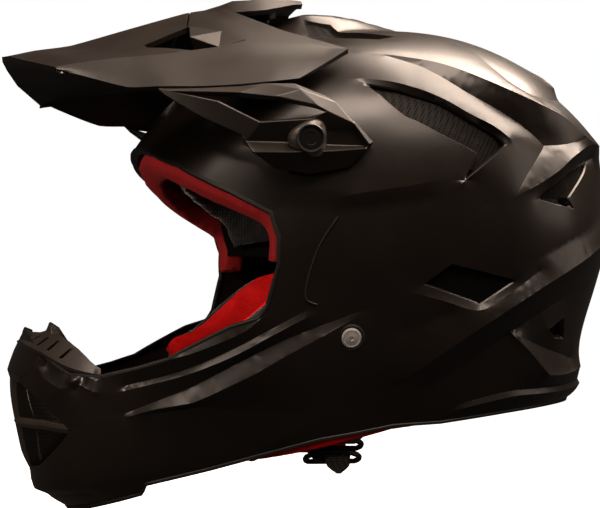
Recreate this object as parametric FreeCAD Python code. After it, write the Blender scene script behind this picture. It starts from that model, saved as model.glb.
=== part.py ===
import FreeCAD, Part
import math, os

# Full-face off-road helmet with a tilting peak.
# Millimetres.  +Z up, +X to the wearer's left, -Y to the front.
# Origin: centre of the head cavity, helmet upright as worn (the lower rim
# falls towards the chin).

V = FreeCAD.Vector
os.makedirs("parts", exist_ok=True)

# ----------------------------------------------------------------- dimensions
SHELL_T = 3.2          # outer shell wall
EPS_OUT = 6.9          # outer face of the foam liner below the shell surface
EPS_IN = 30.0          # inner face of the foam liner
LINER_IN = 39.0        # inner face of the comfort liner
PAD_SPLIT = 20.0       # cheek pad: foam core / cushion boundary
PAD_IN = 37.0          # cheek pad: face against the cheek
PIVOT_Y, PIVOT_Z = -53.5, 47.0     # side screw axis of the peak
ARM_X = 119.8          # inner face of the peak's side arms
PEAK_T = 3.0           # peak wall
TOP_SCREW_Y = -58.0    # rear screw of the peak
TILT_UP, TILT_DOWN = 5.0, 5.0
RIVET = (-27.0, -56.0) # strap rivet, y and z
STRAP_W = 24.0         # chin strap webbing width
STRAP_T = 2.2

# Shell levels from the lower rim to the crown:
# front (y, z), side (x, y, z), rear (y, z)
LEV = [
 (-170,-151,  90,-2,-107,  114,-93),
 (-189,-138,  95,-4,-95,   121,-82),
 (-198,-107, 102,-6,-75,   120,-65),
 (-201,-78,  108,-8,-52,   125,-44),
 (-193,-48,  113,-8,-28,   132,-24),
 (-176,-15,  117,-6,-2,    137,0),
 (-156,17,   118.5,-2,24,  136,26),
 (-136,46,   116,2,48,     130,50),
 (-117,72,   107,6,70,     117,72),
 (-92,94,     91,9,89,      99,90),
 (-62,109,    68,12,105,    76,105),
 (-28,117.5,  38,15,116,    50,115),
 (16,120,      0,16,120,    16,120),
]
NEXP = [2.3,2.3,2.35,2.4,2.4,2.4,2.3,2.25,2.2,2.15,2.1,2.0,2.0]
NL = len(LEV)

def natural(ys):
    n = len(ys); m = [0.0]*n; c = [0.0]*n; dd = [0.0]*n
    for i in range(1, n-1):
        w = 4.0-c[i-1]; c[i] = 1.0/w
        dd[i] = (6.0*(ys[i+1]-2*ys[i]+ys[i-1])-dd[i-1])/w
    for i in range(n-2, 0, -1):
        m[i] = dd[i]-c[i]*m[i+1]
    return m
COLS = [[float(l[k]) for l in LEV] for k in range(7)]+[NEXP]
M2 = [natural(c) for c in COLS]

def ev(k, t):
    ys = COLS[k]; m = M2[k]
    i = min(max(int(t), 0), NL-2); f = t-i; a = 1-f
    return a*ys[i]+f*ys[i+1]+((a**3-a)*m[i]+(f**3-f)*m[i+1])/6.0

def base(phi, t):
    """Smooth shell surface: phi 0 at the front midline, pi at the rear; t 0 at the rim, 12 at the crown."""
    yf, zf, w, yw, zw, yr, zr, n = [ev(k, t) for k in range(8)]
    c = math.cos(phi); s = math.sin(phi); e = 2.0/n
    ca = abs(c)**e; sa = abs(s)**e
    x = w*sa*(1 if s >= 0 else -1)
    if c >= 0: y = yw+(yf-yw)*ca; z = zw+(zf-zw)*ca
    else:      y = yw+(yr-yw)*ca; z = zw+(zr-zw)*ca
    return (x, y, z)

def sub(a, b): return (a[0]-b[0], a[1]-b[1], a[2]-b[2])
def add(a, b, k=1.0): return (a[0]+b[0]*k, a[1]+b[1]*k, a[2]+b[2]*k)
def cross(a, b): return (a[1]*b[2]-a[2]*b[1], a[2]*b[0]-a[0]*b[2], a[0]*b[1]-a[1]*b[0])
def dot(a, b): return a[0]*b[0]+a[1]*b[1]+a[2]*b[2]
def unit(a):
    l = math.sqrt(dot(a, a)) or 1.0
    return (a[0]/l, a[1]/l, a[2]/l)
def mirror(p): return (-p[0], p[1], p[2])

def normal(phi, t):
    if t > NL-1-0.03: return (0.0, 0.0, 1.0)
    e = 0.02; et = 0.02
    p = base(phi, t)
    a = sub(base(phi+e, t), base(phi-e, t))
    b = sub(base(phi, min(t+et, NL-1)), base(phi, max(t-et, 0)))
    n = unit(cross(b, a))
    if n[0]*p[0]+n[1]*(p[1]+10)+n[2]*(p[2]+5) < 0: n = (-n[0], -n[1], -n[2])
    return n

R = math.radians
def at(phid, t, off=0.0):
    """Point at offset off along the outward normal, phi in degrees."""
    return add(base(R(phid), t), normal(R(phid), t), off)

# ------------------------------------------------------------- shell relief
# Creases of the left half as (phi, t, height above the smooth surface).
WIRES = [
 [(69,9.43,1.0),(82,9.4,2.0),(94,9.33,3.0),(107.5,9.1,4.5),(117,8.8,5),(125,8.33,5.5),(135,7.9,6),(146.5,7.7,6.5),(159,7.3,7)],
 [(84,9.33,1.5),(90.5,9.2,-0.5),(98,8.73,-2),(105.5,8.2,-3),(113,7.73,-3),(120.5,7.2,-3),(125.5,6.9,-2.5)],
 [(68,8.57,0.5),(76.5,8.6,1),(83.5,8.47,1),(90,8.3,0.5),(96.5,8,0),(103.5,7.6,0),(112.5,7.03,0)],
 [(125.5,6.9,-2.5),(140,7.0,1.5),(159,7.23,6)],
 [(159,7.23,5),(131,6.4,3.5),(120.5,5.97,2),(114.5,5.67,1),(109,5.4,0)],
 [(125.5,6.9,-2.5),(118,6.23,-0.5),(110.5,5.43,0)],
 [(119,5.63,-1),(128.5,5.7,-2),(144,6.2,-2),(156,6.6,-1)],
 [(143.5,4.57,5),(130.5,4.13,4),(115.5,3.37,3),(102,2.53,2),(93,1.93,1),(89,1.63,0)],
 [(153,4,2),(134,3.43,-1),(123.5,2.9,-1.5),(112.5,2.37,-1),(98,1.6,-0.5),(91,1.3,0)],
 [(84.5,3.83,0),(76.5,3.33,0),(61.5,2.83,0),(47.5,2.57,0),(36.5,2.7,0)],
 [(46.5,2.03,2),(61,2.1,4),(66.5,2.27,4.5),(71,2.43,4),(79,2.83,3),(83.5,3.1,2),(86.5,3.43,0)],
 [(61,2.1,4),(62.5,2,3.5),(69.5,1.77,1),(78,1.47,0),(84.5,1.5,0)],
 [(125.5,9.9,0.5),(133,9.43,1),(135,8.87,2),(139.5,8.47,0)],
 [(180,10.2,1),(180,9.7,2.5),(180,9.2,4),(180,8.8,5),(180,8.5,4)],
 [(180,8.2,0),(172,8.2,0),(150,8.3,0)],
 [(0,0.6,0),(30,0.6,0),(60,0.7,0),(90,0.6,0),(120,0.7,0),(150,0.8,0),(180,0.8,0)],
 [(0,11.2,0),(40,11.2,0),(90,11.2,0),(140,11.2,0),(180,11.2,0)],
 [(69,5.0,0),(72,6.0,0),(74,7.0,0),(70,7.6,0),(40,7.4,0),(0,7.2,0)],
 [(76,4.6,0),(90,4.9,0),(100,5.1,0),(109,5.2,0)],
]
NPH, NTT = 90, 72            # cells over phi 0..180 and t 0..12
def relief_grid():
    fix = {}
    for j in range(NPH+1):
        fix[(j, 0)] = 0.0; fix[(j, NTT)] = 0.0
    for w in WIRES:
        for a, b in zip(w, w[1:]):
            n = max(2, int(max(abs(b[0]-a[0])/180*NPH, abs(b[1]-a[1])/12*NTT)*2)+1)
            for k in range(n+1):
                f = k/n
                j = int(round((a[0]+(b[0]-a[0])*f)/180*NPH)); i = int(round((a[1]+(b[1]-a[1])*f)/12*NTT))
                fix[(j, i)] = a[2]+(b[2]-a[2])*f
    g = [[fix.get((j, i), 0.0) for i in range(NTT+1)] for j in range(NPH+1)]
    free = [(j, i) for j in range(NPH+1) for i in range(NTT+1) if (j, i) not in fix]
    for it in range(220):
        for j, i in free:
            l = g[j-1][i] if j > 0 else g[1][i]
            r = g[j+1][i] if j < NPH else g[NPH-1][i]
            new = (l+r+1.6*(g[j][i-1]+g[j][i+1]))/5.2
            g[j][i] += 1.7*(new-g[j][i])
    return g
G = relief_grid()

def smooth(a, b, x):
    f = min(max((x-a)/(b-a), 0.0), 1.0)
    return f*f*(3-2*f)
HOOD = [(-92,0),(-74,9),(-56,14),(-35,15.5),(-8,9),(10,3.6),(28,0)]
def hood(x, y):
    """Raised air scoop on the crown, under the rear tab of the peak."""
    if y <= HOOD[0][0] or y >= HOOD[-1][0]: return 0.0
    for a, b in zip(HOOD, HOOD[1:]):
        if a[0] <= y <= b[0]:
            return (a[1]+(b[1]-a[1])*(y-a[0])/(b[0]-a[0]))*(1-smooth(14, 36, abs(x)))
def relief(phid, t):
    a = abs(phid)
    if a > 180: a = 360-a
    u = a/180*NPH; v = t/12*NTT
    j = min(int(u), NPH-1); i = min(int(v), NTT-1); fu = u-j; fv = v-i
    h = (1-fu)*((1-fv)*G[j][i]+fv*G[j][i+1])+fu*((1-fv)*G[j+1][i]+fv*G[j+1][i+1])
    p = base(R(phid), t)
    if p[2] > 70: h += hood(p[0], p[1])
    return h

# ------------------------------------------------------------- solid helpers
def bspline(poles, uper, dv=3):
    nu, nv = len(poles), len(poles[0])
    P = [[V(*p) for p in row] for row in poles]
    if dv == 1: vk, vm = [0, 1], [2, 2]
    else:
        k = nv-3; vk, vm = list(range(k+1)), [4]+[1]*(k-1)+[4]
    if uper: uk, um = list(range(nu+1)), [1]*(nu+1)
    else:
        k = nu-3; uk, um = list(range(k+1)), [4]+[1]*(k-1)+[4]
    s = Part.BSplineSurface()
    s.buildFromPolesMultsKnots(P, um, vm, uk, vk, uper, False, 3, dv)
    return s.toShape()

def closed(faces):
    sh = Part.Shape(Part.makeShell(faces))
    sh.sewShape()
    if sh.ShapeType != "Shell": sh = sh.Shells[0]
    s = Part.Solid(sh)
    if s.Volume < 0: s.reverse()
    return s

def layer(fo, fi, t0, nu=72, nv=30, tv=None):
    """Closed cup between two offsets of the shell surface, from level t0 up over the crown."""
    out, inn = [], []
    for i in range(nu):
        ph = 360.0*i/nu
        if ph > 180: ph -= 360
        ro, ri = [], []
        for k in range(nv):
            t = t0+(12-t0)*k/(nv-1)
            ro.append(at(ph, t, fo(ph, t))); ri.append(at(ph, t, fi(ph, t)))
        out.append(ro); inn.append(ri)
    for rows in (out, inn):
        p = rows[0][-1]
        for r in rows: r[-1] = p
    rim = [[out[i][0], inn[i][0]] for i in range(nu)]
    return closed([bspline(out, True), bspline(inn, True), bspline(rim, True, 1)])

def facets(verts, polys):
    """Closed solid from flat triangles."""
    fs = []
    for q in polys:
        tri = [(q[0], q[k], q[k+1]) for k in range(1, len(q)-1)]
        for t in tri:
            a, b, c = [verts[k] for k in t]
            if dot(cross(sub(b, a), sub(c, a)), cross(sub(b, a), sub(c, a))) < 1e-9: continue
            fs.append(Part.Face(Part.makePolygon([V(*a), V(*b), V(*c), V(*a)])))
    return closed(fs)

def loft(sections, ring=False):
    """Faceted solid through polygon sections with equal point counts."""
    m = len(sections[0]); n = len(sections)
    verts = [p for s in sections for p in s]
    polys = []
    for i in range(n if ring else n-1):
        a, b = i*m, ((i+1) % n)*m
        for j in range(m):
            k = (j+1) % m
            polys.append((a+j, a+k, b+k)); polys.append((a+j, b+k, b+j))
    if not ring:
        polys.append(tuple(range(m))[::-1]); polys.append(tuple(range((n-1)*m, n*m)))
    return facets(verts, polys)

def plate(grid_out, grid_in):
    """Faceted solid between two matching point grids."""
    n, m = len(grid_out), len(grid_out[0])
    verts = [p for r in grid_out for p in r]+[p for r in grid_in for p in r]
    o = n*m
    polys = []
    for i in range(n-1):
        for j in range(m-1):
            a, b, c, d = i*m+j, i*m+j+1, (i+1)*m+j+1, (i+1)*m+j
            polys += [(a, b, c), (a, c, d), (o+c, o+b, o+a), (o+d, o+c, o+a)]
    loop = [(0, j) for j in range(m)]+[(i, m-1) for i in range(1, n)]+[(n-1, j) for j in range(m-2, -1, -1)]+[(i, 0) for i in range(n-2, 0, -1)]
    idx = [i*m+j for i, j in loop]
    for a, b in zip(idx, idx[1:]+idx[:1]):
        polys += [(b, a, o+a), (b, o+a, o+b)]
    return facets(verts, polys)

def patch(p0, p1, t0, t1, o0, o1, nu=12, nv=8):
    """Faceted patch of the shell surface between offsets o0 (outer) and o1 (inner)."""
    f = lambda q, *a: q(*a) if callable(q) else q
    go, gi = [], []
    for i in range(nu+1):
        ph = p0+(p1-p0)*i/nu
        a, b = f(t0, ph), f(t1, ph)
        ts = [a+(b-a)*k/nv for k in range(nv+1)]
        go.append([at(ph, t, f(o0, ph, t)) for t in ts]); gi.append([at(ph, t, f(o1, ph, t)) for t in ts])
    return plate(go, gi)

def prism(poly, d0, d1, axis="x"):
    """Prism of a polygon along one axis, from d0 to d1."""
    if axis == "x": pts = [V(d0, a, b) for a, b in poly]; d = V(d1-d0, 0, 0)
    elif axis == "y": pts = [V(a, d0, b) for a, b in poly]; d = V(0, d1-d0, 0)
    else: pts = [V(a, b, d0) for a, b in poly]; d = V(0, 0, d1-d0)
    return Part.Face(Part.makePolygon(pts+[pts[0]])).extrude(d)

def cut_through(poly, grow=1.0, out=20.0, inn=6.0):
    """Prism square to the shell over a polygon of (phi, t) points."""
    pts = [at(a, b) for a, b in poly]
    c = [sum(p[k] for p in pts)/len(pts) for k in range(3)]
    n = unit([sum(normal(R(a), b)[k] for a, b in poly) for k in range(3)])
    flat = []
    for p in pts:
        q = sub(p, c); q = sub(q, tuple(k*dot(q, n) for k in n))
        flat.append(add(add(c, q, grow), n, out))
    w = Part.makePolygon([V(*p) for p in flat]+[V(*flat[0])])
    return Part.Face(w).extrude(V(*[-k*(out+inn) for k in n]))

def cyl(p, d, r, h):
    return Part.makeCylinder(r, h, V(*p), V(*d))
def both(s):
    return s.mirror(V(0, 0, 0), V(1, 0, 0))
def box(x0, x1, y0, y1, z0, z1):
    return Part.makeBox(x1-x0, y1-y0, z1-z0, V(x0, y0, z0))
def one(s):
    """The largest solid of a result."""
    return max(s.Solids, key=lambda q: q.Volume)

NODES = []
def save(name, shape):
    NODES.append(name)
    bb = shape.BoundBox
    print("%-28s ok=%s solids=%d vol=%9.0f  x %7.1f %7.1f y %7.1f %7.1f z %7.1f %7.1f" % (
        name, shape.isValid(), len(shape.Solids), shape.Volume, bb.XMin, bb.XMax, bb.YMin, bb.YMax, bb.ZMin, bb.ZMax))
    shape.exportStep("parts/"+name+".step")
def pair(name, left):
    save(name+"_left", left)
    save(name+"_right", both(left))

# -------------------------------------------------------------- openings
EYE_TOP = [(0,7.16),(10,7.11),(20,6.98),(35.5,6.68),(47.5,6.33),(57,6.03),(63,5.8),(68.5,5.57)]
EYE_BACK = [(72.2,5.1),(73.8,4.6),(73.7,4.2),(73.5,3.83),(72.5,3.6)]
EYE_LOW = [(68,3.5),(63,3.27),(57,3.0),(50.5,2.9),(42,2.83)]
EYE_CHIN = [(34,2.95),(24,3.35),(12,3.75),(0,3.9)]
EYE = EYE_TOP+EYE_BACK+EYE_LOW+EYE_CHIN
def yz(q, off=0.0): p = at(q[0], q[1], off); return (p[1], p[2])
def eye_prism(g=0.0):
    # g moves the edge outwards from the middle of the opening
    pts = [yz(q) for q in EYE[2:-1]]
    cy, cz = -115.0, -12.0
    out = []
    for y, z in pts:
        d = math.hypot(y-cy, z-cz); out.append((y+(y-cy)/d*g, z+(z-cz)/d*g))
    z_top = out[0][1]; z_bot = out[-1][1]
    out = [(-290, z_top+2)]+out+[(-215, z_bot+9), (-290, z_bot+9)]
    return prism(out, -200, 200)
VENT1 = [(77.5,8.5),(83.5,8.43),(90,8.27),(96.5,7.97),(103.5,7.57),(108.5,7.3),(112.5,7.03),(107.5,6.5),(102.5,6.2),(103.5,6.7),(96,7.1),(89.5,7.5),(83,8.1)]
VENT2 = [(24,10.60),(36.5,10.85),(60,10.7),(84,10.42),(77,10.15),(50,10.2)]
REARV = [(119,5.63),(128.5,6.1),(140.5,6.5),(154,6.75),(144,6.35),(135.5,5.9),(129.5,5.65),(126,5.5)]
DIAM = [(94.5,3.97),(99.5,4.4),(116,3.97),(107.5,3.42)]
SMALLV = [(140.5,3.0),(132.5,2.73),(137,2.5),(144,2.5)]
MOUTH = [(-24,-82),(24,-82),(37,-95),(51,-109),(27,-131),(-27,-131),(-51,-109),(-37,-95)]

# --------------------------------------------------------------- outer shell
shell = layer(relief, lambda p, t: relief(p, t)-SHELL_T, 0.0, 96, 48)
shell = shell.cut(eye_prism())
for vent in (VENT1, VENT2, REARV, DIAM, SMALLV):
    c = cut_through(vent)
    shell = shell.cut(c).cut(both(c))
shell = shell.cut(prism(MOUTH, -250, -140, "y"))
for s in (1, -1):
    a = (105.0 if s > 0 else -105.0)
    shell = shell.cut(cyl((a-8*s, RIVET[0], RIVET[1]), (s, 0, 0), 3.1, 20))
    shell = shell.cut(cyl((s*100, PIVOT_Y, PIVOT_Z), (s, 0, 0), 4.2, 30))
shell = shell.cut(cyl((0, TOP_SCREW_Y, 95), (0, 0, 1), 4.2, 40))
shell = one(shell)
save("outer_shell", shell)

# --------------------------------------------------------------- foam liners
eps = layer(lambda p, t: -EPS_OUT+min(relief(p, t), 0)*0.3, lambda p, t: -EPS_IN, 0.9, 72, 30)
eps = eps.cut(eye_prism(1.0)).cut(box(-150, 150, -230, -72, -170, 30))
eps = eps.cut(box(-150, 150, -120, 50, -170, -7))
for vent in (VENT1, REARV, DIAM):
    c = cut_through(vent, 1.08, 20, 17)
    eps = eps.cut(c).cut(both(c))
for s in (1, -1):
    eps = eps.cut(cyl((s*98, PIVOT_Y, PIVOT_Z), (s, 0, 0), 11, 40))
eps = eps.cut(cyl((0, TOP_SCREW_Y, 92), (0, 0, 1), 11, 40))
# front-to-rear air channels under the hood
for x in (-26, 26):
    eps = eps.cut(box(x-5, x+5, -75, 95, 96, 140))
EPS = one(eps)

chin = patch(-56, 56, 0.75, lambda p: 2.45+0.5*smooth(44, 20, abs(p)), -4.2, -17.0, 28, 6)
chin = chin.cut(prism(MOUTH, -250, -120, "y")).cut(eye_prism(0.5))
save("eps_chin_liner", one(chin))

lin = layer(lambda p, t: -EPS_IN-0.3, lambda p, t: -LINER_IN, 5.1, 60, 20)
lin = lin.cut(eye_prism(2.0)).cut(box(-150, 150, -230, -118, -170, 52))
for x in (-26, 26):
    lin = lin.cut(box(x-9, x+9, -70, 90, 40, 140))
save("crown_comfort_liner", one(lin))

# --------------------------------------------------------------- cheek pads
def pad_top(p):
    a = abs(p)
    return 3.25+1.25*smooth(64, 82, a)
core = patch(63, 107, 0.95, pad_top, -EPS_OUT-0.6, -PAD_SPLIT, 16, 8)
cush = patch(61, 106, 0.75, lambda p: pad_top(p)+0.03, -PAD_SPLIT-0.3,
             lambda p, t: -PAD_IN+6*(1-math.sin(math.pi*min(max((t-0.75)/3.75, 0), 1))), 18, 10)
# hollow for the strap, which runs down between core and shell
slot = box(60, 130, RIVET[0]-15, RIVET[0]+15, -130, -40)
core = core.cut(patch(80, 93, 0.5, 3.45, 0, -EPS_OUT-4.6, 4, 6))
pair("cheek_pad_core", one(core))
pair("cheek_pad_cushion", one(cush))

# --------------------------------------------------------------- trims and pads
def edge_ring(path, sect, close=True, off=0.0, mirror_path=True):
    """Sweep a section along an edge of the shell.  Section points are (depth
    along the outward normal, distance away from the opening's side)."""
    full = path+[(-a, b) for a, b in reversed(path) if abs(a) > 1e-6 and abs(a) < 179.99] if mirror_path else path
    n = len(full); secs = []
    P = [at(a, b, 0) for a, b in full]
    for i in range(n):
        pr, nx = P[i-1] if (close or i) else P[i], P[(i+1) % n] if (close or i < n-1) else P[i]
        tan = unit(sub(nx, pr)); nn = normal(R(full[i][0]), full[i][1])
        side = unit(cross(tan, nn)); nn = unit(cross(side, tan))
        h = relief(*full[i])+off
        secs.append([add(add(P[i], nn, a+h), side, b) for a, b in sect])
    return loft(secs, close)
def dense(path, k=3):
    out = []
    for a, b in zip(path, path[1:]):
        for i in range(k): out.append((a[0]+(b[0]-a[0])*i/k, a[1]+(b[1]-a[1])*i/k))
    return out+[path[-1]]
eye_path = dense(EYE, 2)
trim = edge_ring(eye_path, [(1.2,-1.5),(1.2,2.8),(-SHELL_T-1.2,2.8),(-SHELL_T-1.2,-1.5)])
rim_path = [(180.0*i/45, 0.0) for i in range(46)]
btrim = edge_ring(rim_path, [(1.2,2.5),(1.2,-2.2),(-6.5,-2.2),(-6.5,2.5)])
save("base_trim", btrim)

brow_path = dense([(-a, b) for a, b in reversed(EYE_TOP[1:]+EYE_BACK[:2])]+EYE_TOP+EYE_BACK[:2], 2)
brow = edge_ring(brow_path, [(-6.0,-9.5),(-6.0,4.5),(-26.0,6.0),(-26.0,-9.0)], False, 0.0, False)
save("brow_pad", brow)
EPS = one(EPS.cut(brow))
save("eps_crown_liner", EPS)

nr = patch(112, 248, 0.35, 2.3, -PAD_SPLIT-11.5, -PAD_SPLIT-21.0, 20, 6)
save("neck_roll", one(nr))

hem = edge_ring([(a, 0.12) for a in range(66, 114, 4)], [(-8.0,-5.0),(-8.0,3.0),(-22.0,3.0),(-22.0,-5.0)], False, 0.0, False)
# slot for the strap, open towards the shell so that the pad can be pulled inwards
slot = [V(x, -48.5, z) for x, z in ((94,-83),(89.2,-96.5),(80.3,-105.9),(68.2,-110.5),(60,-112.5),(60,-135),(115,-135),(115,-83),(94,-83))]
hem = hem.cut(Part.Face(Part.makePolygon(slot)).extrude(V(0, 40, 0)))
print("hem solids", len(hem.Solids), [round(q.Volume) for q in hem.Solids])
pair("cheek_pad_hem", one(hem))

# --------------------------------------------------------------- vents
pair("side_vent_mesh", one(patch(75, 115, lambda p: 8.0-0.05*(p-75)-0.25, lambda p: 8.75-0.037*(p-75), lambda p, t: relief(p, t)-SHELL_T-0.4, lambda p, t: relief(p, t)-SHELL_T-1.4, 12, 4)))
pair("top_vent_mesh", one(patch(22, 88, 10.05, 10.95, lambda p, t: relief(p, t)-SHELL_T-0.4, lambda p, t: relief(p, t)-SHELL_T-1.3, 12, 4)))
pair("rear_vent_mesh", one(patch(116, 157, 5.4, 6.85, lambda p, t: relief(p, t)-SHELL_T-0.3, lambda p, t: relief(p, t)-SHELL_T-1.2, 12, 4)))
pair("diamond_vent_insert", one(patch(92, 118, 3.2, 4.6, lambda p, t: relief(p, t)-SHELL_T-0.3, lambda p, t: relief(p, t)-SHELL_T-2.0, 8, 4)))
pair("low_vent_insert", one(patch(130, 146, 2.35, 3.15, lambda p, t: relief(p, t)-SHELL_T-0.3, lambda p, t: relief(p, t)-SHELL_T-1.6, 6, 3)))

# mouth vent: a louvre frame with one cross bar, and a mesh behind it
def grow(poly, g):
    out = []
    for x, z in poly:
        d = math.hypot(x, z+107); out.append((x+x/d*g, z+(z+107)/d*g))
    return out
def chin_band(o0, o1):
    return patch(-40, 40, 0.9, 3.4, o0, o1, 24, 8)
frame = chin_band(2.2, -5.0).common(prism(grow(MOUTH, -0.3), -250, -140, "y"))
inner = grow(MOUTH, -5.5)
hole = prism(inner, -250, -140, "y").cut(box(-60, 60, -260, -130, -112.5, -106))
frame = frame.cut(hole)
save("mouth_vent_frame", one(frame))
mesh = patch(-36, 36, 1.1, 3.15, -5.3, -6.4, 18, 6).common(prism(grow(MOUTH, 1.5), -250, -120, "y"))
save("mouth_vent_mesh", one(mesh))

# nose guard: ribbed rubber band on top of the chin bar, four slots each side
NG = [(0,3.62,4.12),(14,3.52,4.02),(26,3.18,3.72),(38,2.86,3.36),(46,2.72,3.0)]
def ng(p, k):
    a = abs(p)
    for q, r in zip(NG, NG[1:]):
        if q[0] <= a <= r[0]: return q[k]+(r[k]-q[k])*(a-q[0])/(r[0]-q[0])
    return NG[-1][k]
guard = patch(-46, 46, lambda p: ng(p, 1), lambda p: ng(p, 2), lambda p, t: 3.6 if t < ng(p, 1)+0.35 else 1.5, -9.0, 46, 4)
for p in (14, 20, 26, 32):
    m = at(p, (ng(p, 1)+ng(p, 2))/2, 0); n = normal(R(p), 3.4)
    c = Part.makeBox(2.2, 14, 4.6, V(-1.1, -7, -2.3))
    c.rotate(V(0, 0, 0), V(0, 0, 1), math.degrees(math.atan2(n[1], n[0]))+90)
    c.translate(V(*m))
    guard = guard.cut(c).cut(both(c))
save("nose_guard", one(guard))
save("eyeport_trim", one(trim.cut(guard)))

# --------------------------------------------------------------- peak
# Half outline as point rows from the front edge to the rear; columns run from
# the centre line over the flat top, the sloping flank and the blade.
PK = [
 [(0,-208,101.8),(22,-205,99.6),(50,-198.0,94.0),(84,-182.8,86.3),(84.3,-181.5,84.8)],
 [(0,-190,104.8),(22,-190.5,103.0),(52,-184,97.0),(82.5,-171,89.0),(88,-169,80.5)],
 [(0,-169,108.0),(22,-170.5,106.2),(52,-165,99.0),(81,-151,92.0),(97,-148,75.3)],
 [(0,-138,118.0),(22,-139,116.0),(52,-135,105.0),(80,-130,94.5),(100,-131,75.4)],
 [(0,-107,127.5),(22,-107,125.8),(52,-108,112.0),(80,-109,96.8),(103,-106,75.6)],
 [(0,-93,130.0),(22,-93,128.4),(54,-88,114.8),(83.5,-80,98.7),(105,-86,76.9)],
 [(0,-88.5,131.3),(26,-88.5,128.4),(59,-73,113.4),(87.5,-53,98.8),(106,-72,78.4)],
 [(0,-84,132.6),(30,-84,127.6),(64,-58,111.6),(92,-27,98.6),(103,-55.5,80.8)],
]
def grid_normals(g):
    n, m = len(g), len(g[0]); out = []
    for i in range(n):
        r = []
        for j in range(m):
            a = sub(g[min(i+1, n-1)][j], g[max(i-1, 0)][j]); b = sub(g[i][min(j+1, m-1)], g[i][max(j-1, 0)])
            r.append(unit(cross(b, a)))
        out.append(r)
    return out
full = [[mirror(p) for p in reversed(r[1:])]+r for r in PK]
nn = grid_normals(full)
if nn[3][4][2] < 0: nn = [[(-a, -b, -c) for a, b, c in r] for r in nn]
inn = [[add(p, q, -PEAK_T) for p, q in zip(r, s)] for r, s in zip(full, nn)]
# the front edge is cut square to the top so the wall does not thin out
peak = plate(full, inn)

# side arm: flat panel from the blade down to the screw
ARM = [(-144,74),(-129.4,67.2),(-86.8,46.2),(-82.6,40.6),(-71,31.9),(-58.9,27.9),(-40.4,28.1),(-28.2,34.1),(-22,43.5),(-28.7,54.5),(-39.9,67.4),(-44.6,70.9),(-57.9,71.7),(-74.7,77.6),(-105,76.5),(-131,76.5)]
def arm_x(y, z):
    """Outer face of the arm: flat at the screw, leaning in towards the front blade."""
    f = smooth(-78, -140, y); g = smooth(61, 80, z)
    return ARM_X+3.4-(f*21)-(1-f)*g*15.0
n = len(ARM)
cy, cz = -70.0, 55.0
rings = []
for k, s in enumerate((1.0, 0.72, 0.44, 0.2)):
    rings.append([(PIVOT_Y+(y-PIVOT_Y)*s, PIVOT_Z+(z-PIVOT_Z)*s) for y, z in ARM])
verts = []; polys = []
for o in (0.0, -3.4):
    for r in rings:
        verts += [(arm_x(y, z)+o, y, z) for y, z in r]
    verts.append((arm_x(PIVOT_Y, PIVOT_Z)+o, PIVOT_Y, PIVOT_Z))
H = 4*n+1
for side in (0, 1):
    o = side*H
    for k in range(3):
        for i in range(n):
            j = (i+1) % n
            q = (o+k*n+i, o+k*n+j, o+(k+1)*n+j, o+(k+1)*n+i)
            polys.append(q if not side else q[::-1])
    for i in range(n):
        j = (i+1) % n; q = (o+3*n+i, o+3*n+j, o+4*n)
        polys.append(q if not side else q[::-1])
for i in range(n):
    j = (i+1) % n
    polys.append((j, i, H+i, H+j))
arm = facets(verts, polys)
arm = arm.cut(cyl((90, PIVOT_Y, PIVOT_Z), (1, 0, 0), 3.6, 60))
recess = prism([(-101,69),(-80,69.5),(-58,66.4),(-45,62),(-52,57.4),(-80,56.2)], 90, 160)
arm = arm.cut(recess)
# rear tab over the scoop, slotted for the top screw
def tab_section(y, w0, z0, w1, z1, t):
    """Roof section of the tab: flat top w0 wide at z0, flanks down to w1 at z1."""
    return [(-w0, y, z0), (w0, y, z0), (w1, y, z1), (w1-2.5, y, z1-t*0.9), (w0-1.2, y, z0-t), (-w0+1.2, y, z0-t), (-w1+2.5, y, z1-t*0.9), (-w1, y, z1)]
tab = loft([tab_section(-97.0, 17.0, 127.3, 26.0, 125.6, 1.3),
            tab_section(-82.0, 21.5, 133.4, 31.5, 125.0, 3.0),
            tab_section(-60.0, 21.0, 134.6, 30.0, 127.6, 3.0),
            tab_section(-41.0, 20.0, 135.2, 25.0, 132.0, 2.6)])
slot_y0, slot_y1 = TOP_SCREW_Y-9.0, TOP_SCREW_Y+9.0
slot = box(-3.6, 3.6, slot_y0, slot_y1, 120, 150)
slot = slot.fuse(cyl((0, slot_y0, 120), (0, 0, 1), 3.6, 30)).fuse(cyl((0, slot_y1, 120), (0, 0, 1), 3.6, 30))
tab = tab.cut(slot)
# cutting tool for the two top vents
pv = prism([(-131,34),(-104,34),(-88,52),(-104,62),(-126,48)], 60, 160, "z")
pvx = Part.Face(Part.makePolygon([V(36,-132,60), V(40,-104,60), V(60,-88,60), V(64,-104,60), V(50,-126,60), V(36,-132,60)])).extrude(V(0, 0, 100))
body = peak
for s in (arm, both(arm), tab): body = body.fuse(s)
body = body.cut(pvx).cut(both(pvx))
save("peak", one(body.removeSplitter()))

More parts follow.
